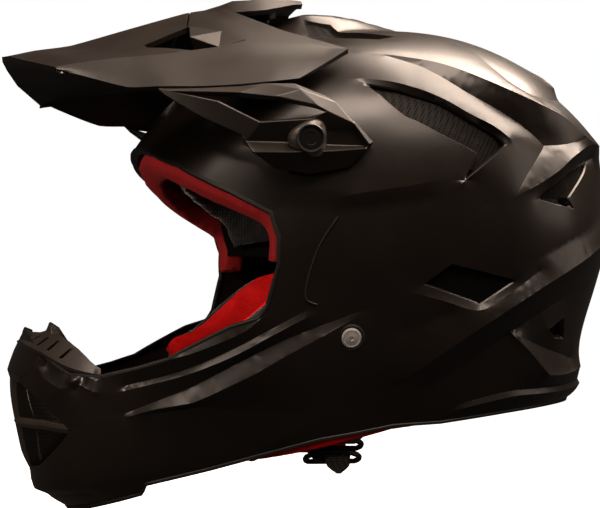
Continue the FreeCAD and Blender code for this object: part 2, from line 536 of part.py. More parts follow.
# --------------------------------------------------------------- peak hardware
def knob(x0):
    """Side screw: knurled head outside the arm, shank through arm and shell."""
    head = cyl((x0, PIVOT_Y, PIVOT_Z), (1, 0, 0), 11.5, 5.0)
    for k in range(6):
        a = R(60*k+15)
        head = head.cut(cyl((x0-1, PIVOT_Y+14.0*math.cos(a), PIVOT_Z+14.0*math.sin(a)), (1, 0, 0), 3.6, 8))
    head = head.cut(cyl((x0+3.4, PIVOT_Y, PIVOT_Z), (1, 0, 0), 8.0, 5))
    hexa = Part.Face(Part.makePolygon([V(x0+1.2, PIVOT_Y+3.2*math.cos(R(60*k)), PIVOT_Z+3.2*math.sin(R(60*k))) for k in range(7)])).extrude(V(5, 0, 0))
    return head.cut(hexa).fuse(cyl((x0-16, PIVOT_Y, PIVOT_Z), (1, 0, 0), 3.0, 16.2))
kx = ARM_X+3.4+0.3
pair("peak_screw", one(knob(kx)))
# spacer washer between shell and arm, and the captive nut in the shell
sx = at(70, 7.03)[0]
wash = cyl((112.0, PIVOT_Y, PIVOT_Z), (1, 0, 0), 9.0, ARM_X-0.3-112.0)
wash = wash.cut(cyl((100, PIVOT_Y, PIVOT_Z), (1, 0, 0), 3.3, 30)).cut(layer(lambda p, t: 0.25, lambda p, t: -20, 4.0, 60, 20))
pair("peak_pivot_washer", one(wash))
nut = cyl((98.0, PIVOT_Y, PIVOT_Z), (1, 0, 0), 8.5, 2.2).fuse(cyl((98.0, PIVOT_Y, PIVOT_Z), (1, 0, 0), 4.1, 14.0))
nut = nut.cut(cyl((90, PIVOT_Y, PIVOT_Z), (1, 0, 0), 3.06, 40))
pair("peak_t_nut", one(nut))
# top screw with its boss on the scoop
boss = cyl((0, TOP_SCREW_Y, 118), (0, 0, 1), 6.5, 131.0-0.3-118)
boss = boss.cut(cyl((0, TOP_SCREW_Y, 100), (0, 0, 1), 3.06, 60)).cut(layer(lambda p, t: relief(p, t)+0.2, lambda p, t: -20, 8.0, 60, 24))
save("peak_top_boss", one(boss))
th = cyl((0, TOP_SCREW_Y, 136.0), (0, 0, 1), 7.5, 2.4)
th = th.cut(Part.makeBox(11, 1.6, 3, V(-5.5, TOP_SCREW_Y-0.8, 137.3)))
th = th.fuse(cyl((0, TOP_SCREW_Y, 112), (0, 0, 1), 3.0, 24.3))
save("peak_top_screw", one(th))
tn = cyl((0, TOP_SCREW_Y, 108.0), (0, 0, 1), 8.5, 2.0).fuse(cyl((0, TOP_SCREW_Y, 108.0), (0, 0, 1), 4.1, 10.0))
tn = tn.cut(cyl((0, TOP_SCREW_Y, 100), (0, 0, 1), 3.06, 40))
save("peak_top_t_nut", one(tn))

# --------------------------------------------------------------- strap rivets
RX = max(v for v in [at(86.5, 2.93)[0]])
ring = cyl((RX-2.0, RIVET[0], RIVET[1]), (1, 0, 0), 7.5, 4.2).cut(cyl((RX-4, RIVET[0], RIVET[1]), (1, 0, 0), 5.6, 10))
ring = ring.cut(layer(lambda p, t: relief(p, t)+0.05, lambda p, t: -20, 1.0, 72, 30))
pair("strap_rivet_ring", one(ring))
riv = cyl((RX+0.6, RIVET[0], RIVET[1]), (1, 0, 0), 5.4, 1.6).fuse(Part.makeSphere(7.5, V(RX-2.2, RIVET[0], RIVET[1])).common(box(RX+2.1, RX+8, -60, 10, -90, -20)))
riv = riv.fuse(cyl((RX-9.5, RIVET[0], RIVET[1]), (1, 0, 0), 2.6, 10.5)).fuse(cyl((RX-10.0, RIVET[0], RIVET[1]), (1, 0, 0), 5.8, 1.2))
pair("strap_rivet", one(riv))

# --------------------------------------------------------------- chin strap
# Webbing as flat bands: left short end to the rings, right end under the throat.
def band(path, widths, t=STRAP_T):
    """Band along a path in a plane of constant y; path points are (x, y, z), width along y."""
    secs = []
    for i, p in enumerate(path):
        a = path[max(i-1, 0)]; b = path[min(i+1, len(path)-1)]
        d = unit(sub(b, a)); nrm = unit(cross((0, 1, 0), d)); w = widths[i]/2
        o = [add((p[0], p[1]-w, p[2]), nrm, t/2), add((p[0], p[1]+w, p[2]), nrm, t/2),
             add((p[0], p[1]+w, p[2]), nrm, -t/2), add((p[0], p[1]-w, p[2]), nrm, -t/2)]
        secs.append(o)
    return loft(secs)
ry, rz = RIVET
SL = [(RX-7.0,ry,rz+10),(RX-6.8,ry,rz),(RX-8.2,ry,rz-14),(RX-11.8,ry,rz-28),(RX-17,ry,rz-42),(RX-26.5,ry-1,rz-52),(69,ry-2,-113)]
sl = band(SL, [20]+[STRAP_W]*5+[20])
sl = sl.cut(cyl((RX-20, ry, rz), (1, 0, 0), 2.75, 30))
save("chin_strap_left", one(sl))
SR = [(-RX+7.0,ry,rz+10),(-RX+6.8,ry,rz),(-RX+8.2,ry,rz-14),(-RX+11.8,ry,rz-28),(-RX+17,ry,rz-42),(-RX+26.5,ry-1,rz-52),(-66,ry-2,-113.6),(-50,ry-2,-117),(-25,ry-3,-120),(0,ry-3,-121),(25,ry-3,-120),(46,ry-3,-117.6),(52,ry-3,-118.4),(57.5,ry-3,-120.4),(60.6,ry-3,-122.3),(62.8,ry-3,-124.0)]
sr = band(SR, [20]+[STRAP_W]*12+[22,20,18])
sr = sr.cut(cyl((-RX-10, ry, rz), (1, 0, 0), 2.75, 30))
save("chin_strap_right", one(sr))
pad = band([(-52,ry-3,-113.6),(-25,ry-3,-116.6),(0,ry-3,-117.6),(20,ry-3,-117.0)], [34]*4, 3.2)
save("strap_throat_pad", one(pad))
def d_ring(cx, cz, tilt):
    r = 1.6
    pts = []
    for k in range(24):
        a = 2*math.pi*k/24
        y = 15*math.cos(a); z = 9*max(math.sin(a), -0.45)
        pts.append((y, z))
    secs = []
    for i, (y, z) in enumerate(pts):
        q0, q1 = pts[i-1], pts[(i+1) % 24]
        d = unit((0, q1[0]-q0[0], q1[1]-q0[1])); s = unit(cross(d, (1, 0, 0)))
        secs.append([(r*math.cos(R(45*m)), y+s[1]*r*math.sin(R(45*m)), z+s[2]*r*math.sin(R(45*m))) for m in range(8)])
    g = loft(secs, True)
    g.rotate(V(0, 0, 0), V(0, 1, 0), tilt)
    g.translate(V(cx, ry-2, cz))
    return g
save("d_ring_outer", d_ring(62.0, -115.0, 62))
save("d_ring_inner", d_ring(56.3, -122.4, 62))
TL = [(67.0,ry-2,-121.5),(70.5,ry-2,-122.2),(72.6,ry-2,-123.6),(73.8,ry-2,-125.4),(74.4,ry-2,-127.4),(74.6,ry-2,-129.6)]
tl = band(TL, [12,12.5,13,12,8,2], 2.0)
tl = tl.fuse(cyl((67.0, ry-8, -121.5), (0, 1, 0), 1.7, 12))
save("strap_tail", one(tl))
print("nodes", len(NODES))
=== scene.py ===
import bpy, bmesh, math, json
import numpy as np
from mathutils import Vector, Matrix
from mathutils.geometry import delaunay_2d_cdt
from mathutils.kdtree import KDTree


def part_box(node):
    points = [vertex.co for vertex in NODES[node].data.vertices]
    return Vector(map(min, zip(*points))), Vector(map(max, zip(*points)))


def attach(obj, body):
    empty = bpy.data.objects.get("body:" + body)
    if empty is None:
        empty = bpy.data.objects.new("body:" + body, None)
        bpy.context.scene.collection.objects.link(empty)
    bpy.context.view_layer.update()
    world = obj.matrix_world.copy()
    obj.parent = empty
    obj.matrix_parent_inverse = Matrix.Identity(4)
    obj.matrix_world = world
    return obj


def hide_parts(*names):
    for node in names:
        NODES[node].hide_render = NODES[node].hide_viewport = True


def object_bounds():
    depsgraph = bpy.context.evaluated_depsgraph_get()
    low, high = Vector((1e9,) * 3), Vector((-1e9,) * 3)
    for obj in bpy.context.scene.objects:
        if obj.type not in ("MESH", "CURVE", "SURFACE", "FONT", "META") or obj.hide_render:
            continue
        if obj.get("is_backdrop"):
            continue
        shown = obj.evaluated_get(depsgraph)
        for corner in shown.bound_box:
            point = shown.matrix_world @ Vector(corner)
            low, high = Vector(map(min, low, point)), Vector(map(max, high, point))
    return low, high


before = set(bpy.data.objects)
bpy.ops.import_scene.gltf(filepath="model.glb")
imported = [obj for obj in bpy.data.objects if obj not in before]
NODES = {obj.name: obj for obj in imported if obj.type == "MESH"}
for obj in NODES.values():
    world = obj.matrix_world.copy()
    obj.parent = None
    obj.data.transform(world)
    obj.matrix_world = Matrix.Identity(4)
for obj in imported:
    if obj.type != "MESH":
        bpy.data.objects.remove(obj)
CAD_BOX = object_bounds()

MM = 0.001
rng = np.random.RandomState(7)

# ------------------------------------------------------------------ camera
AZ, EL, DIST = math.radians(80.0), math.radians(-2.05), 1.2
back = Vector((math.sin(AZ)*math.cos(EL), -math.cos(AZ)*math.cos(EL), math.sin(EL)))
target = Vector((-0.0066, -0.0359, -0.0081))
cam_data = bpy.data.cameras.new("camera")
cam = bpy.data.objects.new("camera", cam_data)
bpy.context.scene.collection.objects.link(cam)
cam_data.sensor_width = 36.0
cam_data.lens = 124.14
cam.location = target+back*DIST
cam.rotation_mode = "QUATERNION"
cam.rotation_quaternion = (-back).to_track_quat("-Z", "Y")
cam_data.clip_start = 0.01
cam_data.clip_end = 100
bpy.context.scene.camera = cam

# ------------------------------------------------------- smooth shell surface
LEV = np.array([
 (-170,-151,  90,-2,-107,  114,-93),
 (-189,-138,  95,-4,-95,   121,-82),
 (-198,-107, 102,-6,-75,   120,-65),
 (-201,-78,  108,-8,-52,   125,-44),
 (-193,-48,  113,-8,-28,   132,-24),
 (-176,-15,  117,-6,-2,    137,0),
 (-156,17,   118.5,-2,24,  136,26),
 (-136,46,   116,2,48,     130,50),
 (-117,72,   107,6,70,     117,72),
 (-92,94,     91,9,89,      99,90),
 (-62,109,    68,12,105,    76,105),
 (-28,117.5,  38,15,116,    50,115),
 (16,120,      0,16,120,    16,120)], float)
NEXP = np.array([2.3,2.3,2.35,2.4,2.4,2.4,2.3,2.25,2.2,2.15,2.1,2.0,2.0])
COLS = np.column_stack([LEV, NEXP])
NL = len(COLS)
def natural(ys):
    n = len(ys); m = np.zeros(n); c = np.zeros(n); dd = np.zeros(n)
    for i in range(1, n-1):
        w = 4.0-c[i-1]; c[i] = 1.0/w
        dd[i] = (6.0*(ys[i+1]-2*ys[i]+ys[i-1])-dd[i-1])/w
    for i in range(n-2, 0, -1):
        m[i] = dd[i]-c[i]*m[i+1]
    return m
M2 = np.column_stack([natural(COLS[:, k]) for k in range(8)])
def base(phi, t):
    """Smooth shell, phi in radians from the front midline, t from 0 at the rim to 12 at the crown; millimetres."""
    phi = np.asarray(phi, float); t = np.clip(np.asarray(t, float), 0, NL-1)
    i = np.clip(t.astype(int), 0, NL-2); f = (t-i)[..., None]; a = 1-f
    v = a*COLS[i]+f*COLS[i+1]+((a**3-a)*M2[i]+(f**3-f)*M2[i+1])/6.0
    yf, zf, w, yw, zw, yr, zr, n = [v[..., k] for k in range(8)]
    c = np.cos(phi); s = np.sin(phi); e = 2.0/n
    ca = np.abs(c)**e; sa = np.abs(s)**e
    x = w*sa*np.sign(s)
    fr = c >= 0
    y = yw+(np.where(fr, yf, yr)-yw)*ca; z = zw+(np.where(fr, zf, zr)-zw)*ca
    return np.stack([x, y, z], -1)
def normal(phi, t):
    phi = np.asarray(phi, float); t = np.asarray(t, float)
    e = 0.02
    p = base(phi, t)
    a = base(phi+e, t)-base(phi-e, t)
    b = base(phi, np.minimum(t+e, NL-1))-base(phi, np.maximum(t-e, 0))
    n = np.cross(b, a)
    l = np.linalg.norm(n, axis=-1, keepdims=True)
    n = np.where(l > 1e-9, n/np.maximum(l, 1e-9), np.array([0, 0, 1.0]))
    s = np.sign((n*(p-np.array([0, -10, -5.0]))).sum(-1, keepdims=True)); s[s == 0] = 1
    n = n*s
    top = (t > NL-1-0.03)
    n[top] = (0, 0, 1)
    return n
R = math.radians

# near-conformal chart: u = phi, v = M(t)
TT = np.linspace(0, 11.95, 480)
PH = np.linspace(0, math.pi, 73)
_P = np.stack([base(PH, np.full_like(PH, t)) for t in TT])
PERIM = np.linalg.norm(np.diff(_P, axis=1), axis=2).sum(1)/math.pi
DS = np.linalg.norm(np.diff(_P, axis=0), axis=2).mean(1)
MV = np.concatenate([[0], np.cumsum(DS/((PERIM[1:]+PERIM[:-1])/2))])
def t2v(t): return np.interp(t, TT, MV)
def v2t(v): return np.interp(v, MV, TT)
def v2rho(v): return np.interp(v, MV, PERIM)

# ------------------------------------------------------------ crease network
# (phi degrees, t, height above the smooth surface in mm)
W = {
 "ridgeA": [(68.8,9.46,0.2),(81.3,9.38,1.2),(92.0,9.20,2.4),(100.8,8.91,3.6),(108.8,8.52,4.8),(116.6,8.15,5.8),(125.3,7.80,6.6),(133.3,7.52,7.0),(142.2,7.08,7.2),(152,6.95,7.0)],
 "B": [(82.7,9.33,0.9),(90.7,9.07,1.0),(97.3,8.72,0.4),(105.2,8.22,-0.8),(113.5,7.81,-2.0),(121.0,7.37,-2.6),(126.1,6.97,-2.6)],
 "diamlip": [(92.1,3.84,0.4),(99.0,3.60,1.2),(107.3,3.36,1.6),(115.0,3.76,1.2),(122.5,4.24,0.3)],
 "wingstep": [(126.1,6.97,-2.6),(133.1,6.97,2.2),(142.2,7.08,7.2)],
 "winglow": [(152,6.95,7.0),(142.8,6.93,6.6),(133.5,6.67,5.2),(127.0,6.35,3.8),(119.6,6.02,2.0),(113.4,5.78,0.5),(106,5.6,0)],
 "wingup": [(126.1,6.97,-2.6),(118.7,6.36,-1.0),(113.4,5.78,0.5)],
 "C": [(66.4,8.57,0.2),(76.7,8.53,0.9),(86.7,8.42,1.2),(95.7,8.05,1.2),(102.8,7.63,1.2),(109.3,7.31,1.2),(113.3,7.03,1.0)],
 "Lup": [(160,5.2,3.6),(150,4.95,4.4),(138.2,4.56,5.0),(124.7,4.0,5.2),(111.8,3.23,4.6),(100.8,2.51,3.2),(94.2,2.03,1.8),(90.4,1.69,0.3)],
 "Llo": [(162,4.3,0.5),(146.2,3.86,-0.6),(131.1,3.31,-1.8),(118.6,2.73,-1.8),(105.1,2.01,-1.4),(96.2,1.47,-0.6)],
 "Lup0": [(165,5.7,0),(150,5.4,0),(138,5.0,0),(126,4.62,0),(116,4.3,0)],
 "tri_a": [(118.1,2.71,0.2),(125.7,2.19,3.4),(132.5,1.61,5.6)],
 "tri_b": [(118.1,2.71,0.2),(133.4,2.26,-0.8),(149.6,1.95,0.4)],
 "tri_c": [(132.5,1.61,5.6),(141.1,1.55,5.6),(155,1.6,4.8),(168,1.65,3.6)],
 "flange_u": [(103.5,0.86,0.0),(107.4,1.02,0.2),(119.4,1.19,0.6),(131.1,1.15,1.0),(143.0,1.13,1.6),(165,1.18,2.0),(180,1.2,2.0)],
 "flange_l": [(104,0.74,1.0),(108,0.88,1.8),(120,1.04,2.4),(131,1.0,2.8),(143,0.98,3.2),(165,1.04,3.4),(180,1.06,3.4)],
 "H_u": [(79.4,3.63,0.1),(74.6,3.34,-0.1),(70.0,3.09,-0.3),(64.9,2.88,-0.5),(59.4,2.72,-0.8),(53.4,2.64,-0.8),(48.2,2.59,-0.5)],
 "H_l": [(79.8,3.51,1.4),(74.6,3.21,2.0),(70.0,2.96,2.2),(64.9,2.77,2.2),(59.5,2.64,2.2),(53.5,2.56,1.6),(47.6,2.50,1.0),(41.5,2.45,1.4)],
 "railhi": [(73.0,3.61,0.6),(69.8,3.34,1.4),(63.2,3.11,1.6),(58.1,3.01,1.6),(52.4,2.91,1.6),(42.6,2.80,1.2)],
 "J": [(46.8,2.06,0.6),(54.9,2.23,0.6),(62.8,2.44,0.2),(71.6,2.83,-0.2),(78.0,3.13,-0.2),(84.6,3.39,0),(88.3,3.58,0.3)],
 "Jlo": [(46.8,1.99,0.8),(53.3,2.09,4.0),(58.9,2.13,6.0),(62.5,2.17,6.2),(71.2,2.48,5.6),(77.1,2.79,4.2),(81.9,3.06,2.8),(86.6,3.38,0.8)],
 "K": [(52.6,1.99,1.4),(62.2,1.99,2.0),(65.5,1.89,1.8),(68.8,1.80,1.4),(73.4,1.65,1.0),(77.9,1.48,0.6)],
 "K2": [(72.2,0.9,0.6),(76.0,1.01,0.6),(79.9,1.26,0.6),(85.1,1.44,0.4),(88.2,1.24,0.3),(90.0,1.06,0.1)],
 "chinlip": [(0,0.92,1.3),(6,0.9,1.3),(14.1,0.87,1.3),(30.1,0.90,1.4),(37.5,0.89,1.0),(46.6,0.81,0.6)],
 "chinlow": [(0,0.66,-1.6),(10,0.64,-1.5),(20,0.62,-1.0),(30,0.60,-0.4)],
 "D": [(80.4,5.80,0.6),(83.6,5.86,1.6),(89.4,5.95,1.6),(94.7,6.07,1.0),(102.1,6.1,0.3)],
 "E": [(65.4,6.07,0),(72.2,6.0,0.3),(78.1,5.93,0.5),(83.6,5.86,1.6)],
 "D2": [(70,5.7,-0.6),(78,5.6,-0.8),(86,5.55,-0.7),(94,5.7,-0.4)],
 "fin": [(118.5,10.2,0.2),(120.5,9.85,0.6),(120.0,9.14,1.2),(122.0,8.56,2.0),(127.7,8.22,2.0)],
 "fin_mid": [(180,10.3,1.2),(180,9.8,3.0),(180,9.3,5.0),(180,8.9,6.4),(180,8.6,6.0)],
 "fin_side": [(166,10.3,0.6),(165,9.8,1.8),(164,9.3,3.4),(163,8.9,4.8),(163,8.62,4.6)],
 "fin_end": [(180,8.32,0.6),(163,8.3,0.4),(150,8.25,0.6),(138,8.15,1.2),(127.7,8.22,2.0)],
 "f_low": [(0,3.60,1.2),(11.3,3.55,1.2),(21.2,3.40,1.0),(30.4,3.16,1.0),(37.2,2.93,1.0),(41.5,2.78,1.0)],
 "f_a": [(0,3.50,1.8),(4.5,3.45,1.8),(13.9,3.36,1.6),(17.7,3.14,1.8),(13.0,2.98,2.0)],
 "f_a2": [(0,3.12,3.3),(6,3.10,3.1),(13.0,2.98,2.0)],
 "f_b": [(18.6,3.12,1.0),(26.0,2.90,1.6),(31.6,2.69,2.0)],
 "f_c": [(31.6,2.69,2.0),(28.2,2.57,1.4),(24.4,2.48,0.6)],
 "f_d": [(31.6,2.69,2.0),(36.6,2.73,1.2),(39.0,2.64,1.6),(41.5,2.54,1.8)],
 "f_e": [(33.0,1.95,0.6),(38.2,1.98,1.2),(43.7,2.0,1.2),(46.8,1.99,0.8)],
 "bump1": [(22.6,3.20,2.8),(23.8,3.14,2.8)],
 "dip1": [(21.5,3.32,-0.8),(24.5,3.28,-0.8)],
 "dip2": [(26.5,3.05,-0.2),(28.5,3.10,-0.4),(31,3.02,-0.2)],
 "bump2": [(34.6,2.84,2.6),(36.4,2.82,2.6)],
 "under2": [(35.5,2.70,0.2),(37.8,2.74,0.4)],
}
SOFT = {"Lup0", "D2", "bump1", "bump2", "dip1", "dip2", "under2"}
ZERO = [
 [(0,5.2,0),(0,6.93,0)],
 [(0,7.6,0),(30,7.7,0),(55,7.6,0)],
 [(100,5.0,0),(112,4.9,0)],
 [(86,4.6,0),(96,5.0,0)],
 [(92,2.9,0),(100,3.3,0)],
 [(150,0.0,0),(180,0.0,0)],
]
# openings: outline, height of the outline, depth of the wall foot, inset of the foot in mm
HOLES = {
 "vent1": ([(77.5,8.44,0.2),(86.9,8.32,-0.8),(96.0,8.0,-1.8),(103.4,7.54,-2.2),(109.9,7.18,-1.4),(112.0,6.91,0.6),(104.7,6.38,1.8),(100.0,6.02,1.2),(101.7,6.31,0.2),(103.6,6.7,0.2),(95.3,7.13,0.4),(88.3,7.56,0.6),(82.6,8.08,0.6)], None, -7.5, 1.0),
 "rearv": ([(119.3,5.72),(124.3,6.0),(133.9,6.38),(146.0,6.68),(141.5,6.36),(135.2,6.0),(131.3,5.76),(133.6,5.54),(126.0,5.62)], None, -6.0, 1.1),
 "diam": ([(94.5,3.97,-0.5),(99.5,4.4,0.1),(116.2,4.01,-0.5),(107.6,3.46,-1.0)], None, -7.0, 0.9),
 "smallv": ([(132.2,2.74),(138.9,3.04),(142.7,2.46),(136.7,2.49)], None, -4.5, 0.9),
}
def poly_in(poly, q):
    """Which of the points q (n,2) are inside the polygon."""
    p = np.asarray(poly, float); x, y = q[:, 0], q[:, 1]
    ins = np.zeros(len(q), bool)
    j = len(p)-1
    for i in range(len(p)):
        c = ((p[i, 1] > y) != (p[j, 1] > y)) & (x < (p[j, 0]-p[i, 0])*(y-p[i, 1])/(p[j, 1]-p[i, 1]+1e-12)+p[i, 0])
        ins ^= c; j = i
    return ins

def chart(pt):
    """(phi degrees, t) -> chart (u, v)."""
    a = np.asarray(pt, float)
    return np.column_stack([np.radians(a[:, 0]), t2v(a[:, 1])])
def resample(path, step, close=False):
    """Path of (phi, t, h) made denser so that no run is longer than step mm."""
    p = [tuple(q) for q in path]
    if close: p = p+[p[0]]
    out = []
    for a, b in zip(p, p[1:]):
        pa = base(R(a[0]), a[1]); pb = base(R(b[0]), b[1])
        n = max(1, int(math.ceil(np.linalg.norm(pa-pb)/step)))
        for k in range(n):
            f = k/n; out.append(tuple(a[j]+(b[j]-a[j])*f for j in range(3)))
    if not close: out.append(p[-1])
    return out
def curve(path, step=2.4):
    """Smooth curve (Catmull-Rom) through the crease points."""
    p = np.array(path, float); n = len(p)
    if n < 3: return resample(path, step)
    out = []
    for i in range(n-1):
        p0 = p[max(i-1, 0)]; p1 = p[i]; p2 = p[i+1]; p3 = p[min(i+2, n-1)]
        L = np.linalg.norm(base(R(p1[0]), p1[1])-base(R(p2[0]), p2[1])); m = max(1, int(math.ceil(L/step)))
        for k in range(m):
            f = k/m
            out.append(tuple(0.5*((2*p1)+(-p0+p2)*f+(2*p0-5*p1+4*p2-p3)*f*f+(-p0+3*p1-3*p2+p3)*f**3)))
    out.append(tuple(p[-1]))
    return out
def inset(poly, d):
    """Polygon of (phi, t) moved d mm inwards, in the chart."""
    c = chart(poly); n = len(c)
    area = 0.5*sum(c[i, 0]*c[(i+1) % n, 1]-c[(i+1) % n, 0]*c[i, 1] for i in range(n))
    sg = 1 if area > 0 else -1
    out = []
    for i in range(n):
        rho = v2rho(c[i, 1])
        e0 = c[i]-c[i-1]; e1 = c[(i+1) % n]-c[i]
        e0 /= np.linalg.norm(e0); e1 /= np.linalg.norm(e1)
        n0 = np.array([-e0[1], e0[0]])*sg; n1 = np.array([-e1[1], e1[0]])*sg
        b = n0+n1; l = np.linalg.norm(b)
        b = b/l if l > 1e-6 else n0
        k = min(1.0/max(np.dot(b, n0), 0.2), 3.2)
        q = c[i]+b*k*d/rho
        out.append((math.degrees(q[0]), float(v2t(q[1]))))
    return out

def smooth01(a, b, x):
    f = np.clip((x-a)/(b-a), 0, 1); return f*f*(3-2*f)
HOOD = np.array([(-96,0),(-84,3.4),(-74,7.4),(-56,11.2),(-35,12.4),(-8,7.8),(10,3.4),(27,0)], float)
# lower edge of the shell, (phi, t)
RIM = [(0,0.0),(20,0.0),(34,0.08),(42.5,0.15),(46,0.50),(60,0.52),(70,0.57),(80,0.60),(90,0.38),(100,0.24),(120,0.30),(140,0.30),(180,0.24)]
def rim_t(ph): return np.interp(np.abs(ph), [q[0] for q in RIM], [q[1] for q in RIM])
def hood(x, y):
    """Raised air scoop on the crown."""
    hh = np.interp(y, HOOD[:, 0], HOOD[:, 1], left=0, right=0)
    w0 = np.interp(y, [-96, -60, -20, 27], [10, 17, 17, 3]); w1 = w0+np.interp(y, [-96, -60, -20, 10, 27], [14, 17, 15, 10, 6])
    return hh*(1-np.clip((np.abs(x)-w0)/(w1-w0), 0, 1))

# --------------------------------------------------------------- shell mesh
def build_shell():
    SP = 3.0
    vmax = MV[-1]
    pts, hts = [], []      # fixed chart points and heights
    edges = []; hard = []
    sup = []               # support points, free height
    rimfix = []
    def add_path(path, close=False, support=0.0, crisp=True):
        c = chart([(a, b) for a, b, h in path])
        i0 = len(pts)
        for (u, v), q in zip(c, path):
            pts.append((min(max(u, 0), math.pi), min(max(v, 0), vmax))); hts.append(q[2])
        n = len(path)
        for k in range(n-1): edges.append((i0+k, i0+k+1)); hard.append(crisp)
        if close: edges.append((i0+n-1, i0)); hard.append(crisp)
        if support:
            for k in range(n):
                a = c[k-1] if (k or close) else c[k]; b = c[(k+1) % n] if (k < n-1 or close) else c[k]
                d = b-a; l = np.linalg.norm(d)
                if l < 1e-9: continue
                d /= l; nn = np.array([-d[1], d[0]])*support/v2rho(c[k, 1])
                sup.append(c[k]+nn); sup.append(c[k]-nn)
    for name, path in W.items():
        add_path(curve(path), support=(0.0 if name in SOFT else 0.7), crisp=name not in SOFT)
    for path in ZERO:
        add_path(resample(path, 6.0), crisp=False)
    add_path(resample([(a, b, 0.0) for a, b in RIM[2:]], 2.6))
    holes = []
    base_h = {"vent1": 1.1, "rearv": 0.4, "diam": 0.2, "smallv": 0.3}
    top_edge = {"vent1": 1.6}
    for name, (poly, _, depth, ins) in HOLES.items():
        out = resample([(q[0], q[1], q[2] if len(q) > 2 else base_h[name]) for q in poly], 2.4, True)
        add_path(out, True)
        # narrow chamfer inside the edge
        ch = [(a, b, (q[2] if len(q) > 2 else base_h[name])-0.75) for (a, b), q in zip(inset(poly, 0.75), poly)]
        add_path(resample(ch, 2.4, True), True)
        foot = inset(poly, ins+0.7)
        foot = resample([(a, b, depth) for a, b in foot], 2.4, True)
        add_path(foot, True)
        holes.append([(a, b) for a, b, h in foot])
        # outer lip, kept near the surface so the wall starts with a tight edge
        lip = inset(poly, -1.3)
        for q in chart([(a, b) for a, b, h in resample([(a, b, 0) for a, b in lip], 2.6, True)]): sup.append(q)
    # eyeport, mouth and top vents
    eye = EYE_LOOP
    add_path(resample([(a, b, 0.0) for a, b in eye], 2.6))
    add_path(resample([(a, b, h_) for (a, b), h_ in zip(MOUTH_LOOP, MOUTH_H)], 2.4))
    for poly in (TOPV,):
        out = resample([(a, b, 0.0) for a, b in poly], 2.4, True)
        i0 = len(pts); add_path(out, True)
        for k in range(i0, len(pts)): hts[k] = 0.0
        foot = resample([(a, b, -6.0) for a, b in inset(poly, 1.1)], 2.4, True)
        add_path(foot, True); holes.append([(a, b) for a, b, h in foot])
    # sample rows
    kd = KDTree(len(pts)+len(sup)); 
    allp = np.array(pts+[tuple(q) for q in sup])
    P3 = base(allp[:, 0], v2t(allp[:, 1]))
    for i, p in enumerate(P3): kd.insert(p, i)
    kd.balance()
    # drop support points that sit too close to any crease point but their own
    kdp = KDTree(len(pts))
    for i in range(len(pts)): kdp.insert(P3[i], i)
    kdp.balance()
    keep = []
    for j in range(len(sup)):
        q = P3[len(pts)+j]
        if kdp.find(q)[2] > 0.5 and 0.001 < sup[j][0] < math.pi-0.001 and 0 < sup[j][1] < vmax: keep.append(sup[j])
    grid = []
    t = 0.0; row = 0
    while t < 11.93:
        v = float(t2v(t)); rho = float(v2rho(v))
        n = max(4, int(round(math.pi*rho/SP)))
        for k in range(n+1):
            u = math.pi*k/n if row % 2 == 0 else math.pi*(k-0.5)/n
            if row % 2 and k == 0: u = 0.0
            u = min(max(u, 0), math.pi)
            grid.append((u, v))
            if row % 2 and k == n: grid.append((math.pi, v))
        ds = float(np.interp(t, TT[:-1], DS/(TT[1]-TT[0])))
        t += SP*0.87/ds; row += 1
    g = np.array(grid); G3 = base(g[:, 0], v2t(g[:, 1]))
    kds = KDTree(len(pts)+len(keep))
    K3 = np.vstack([P3[:len(pts)], base(np.array(keep)[:, 0], v2t(np.array(keep)[:, 1]))])
    for i, p in enumerate(K3): kds.insert(p, i)
    kds.balance()
    gk = [tuple(g[i]) for i in range(len(g)) if kds.find(G3[i])[2] > 1.7 or g[i, 1] <= 1e-9]
    top = [(math.pi*k/6, vmax) for k in range(7)]
    verts = [Vector(p) for p in pts]+[Vector(p) for p in keep]+[Vector(p) for p in gk]+[Vector(p) for p in top]
    res = delaunay_2d_cdt(verts, edges, [], 0, 1e-7)
    V2 = np.array([(p.x, p.y) for p in res[0]]); F = np.array(res[2]); ov = res[3]
    crease = [tuple(e) for e, src in zip(res[1], res[4]) if any(k < len(hard) and hard[k] for k in src)]
    n = len(V2); h = np.zeros(n); fixed = np.zeros(n, bool)
    for i, src in enumerate(ov):
        k = [s for s in src if s < len(pts)]
        if k: h[i] = max((hts[s] for s in k), key=abs) if len(k) > 1 else hts[k[0]]; fixed[i] = True
    rim = V2[:, 1] <= 1e-6
    fixed |= rim; 
    topr = V2[:, 1] >= vmax-1e-6
    h[topr] = 0; fixed |= topr
    T = v2t(V2[:, 1])
    # height field: membrane stretched between the creases
    P = base(V2[:, 0], T)
    E = np.vstack([F[:, [0, 1]], F[:, [1, 2]], F[:, [2, 0]]]); E.sort(1); E = np.unique(E, axis=0)
    w = 1.0/np.maximum(np.linalg.norm(P[E[:, 0]]-P[E[:, 1]], axis=1), 0.3)
    free = ~fixed
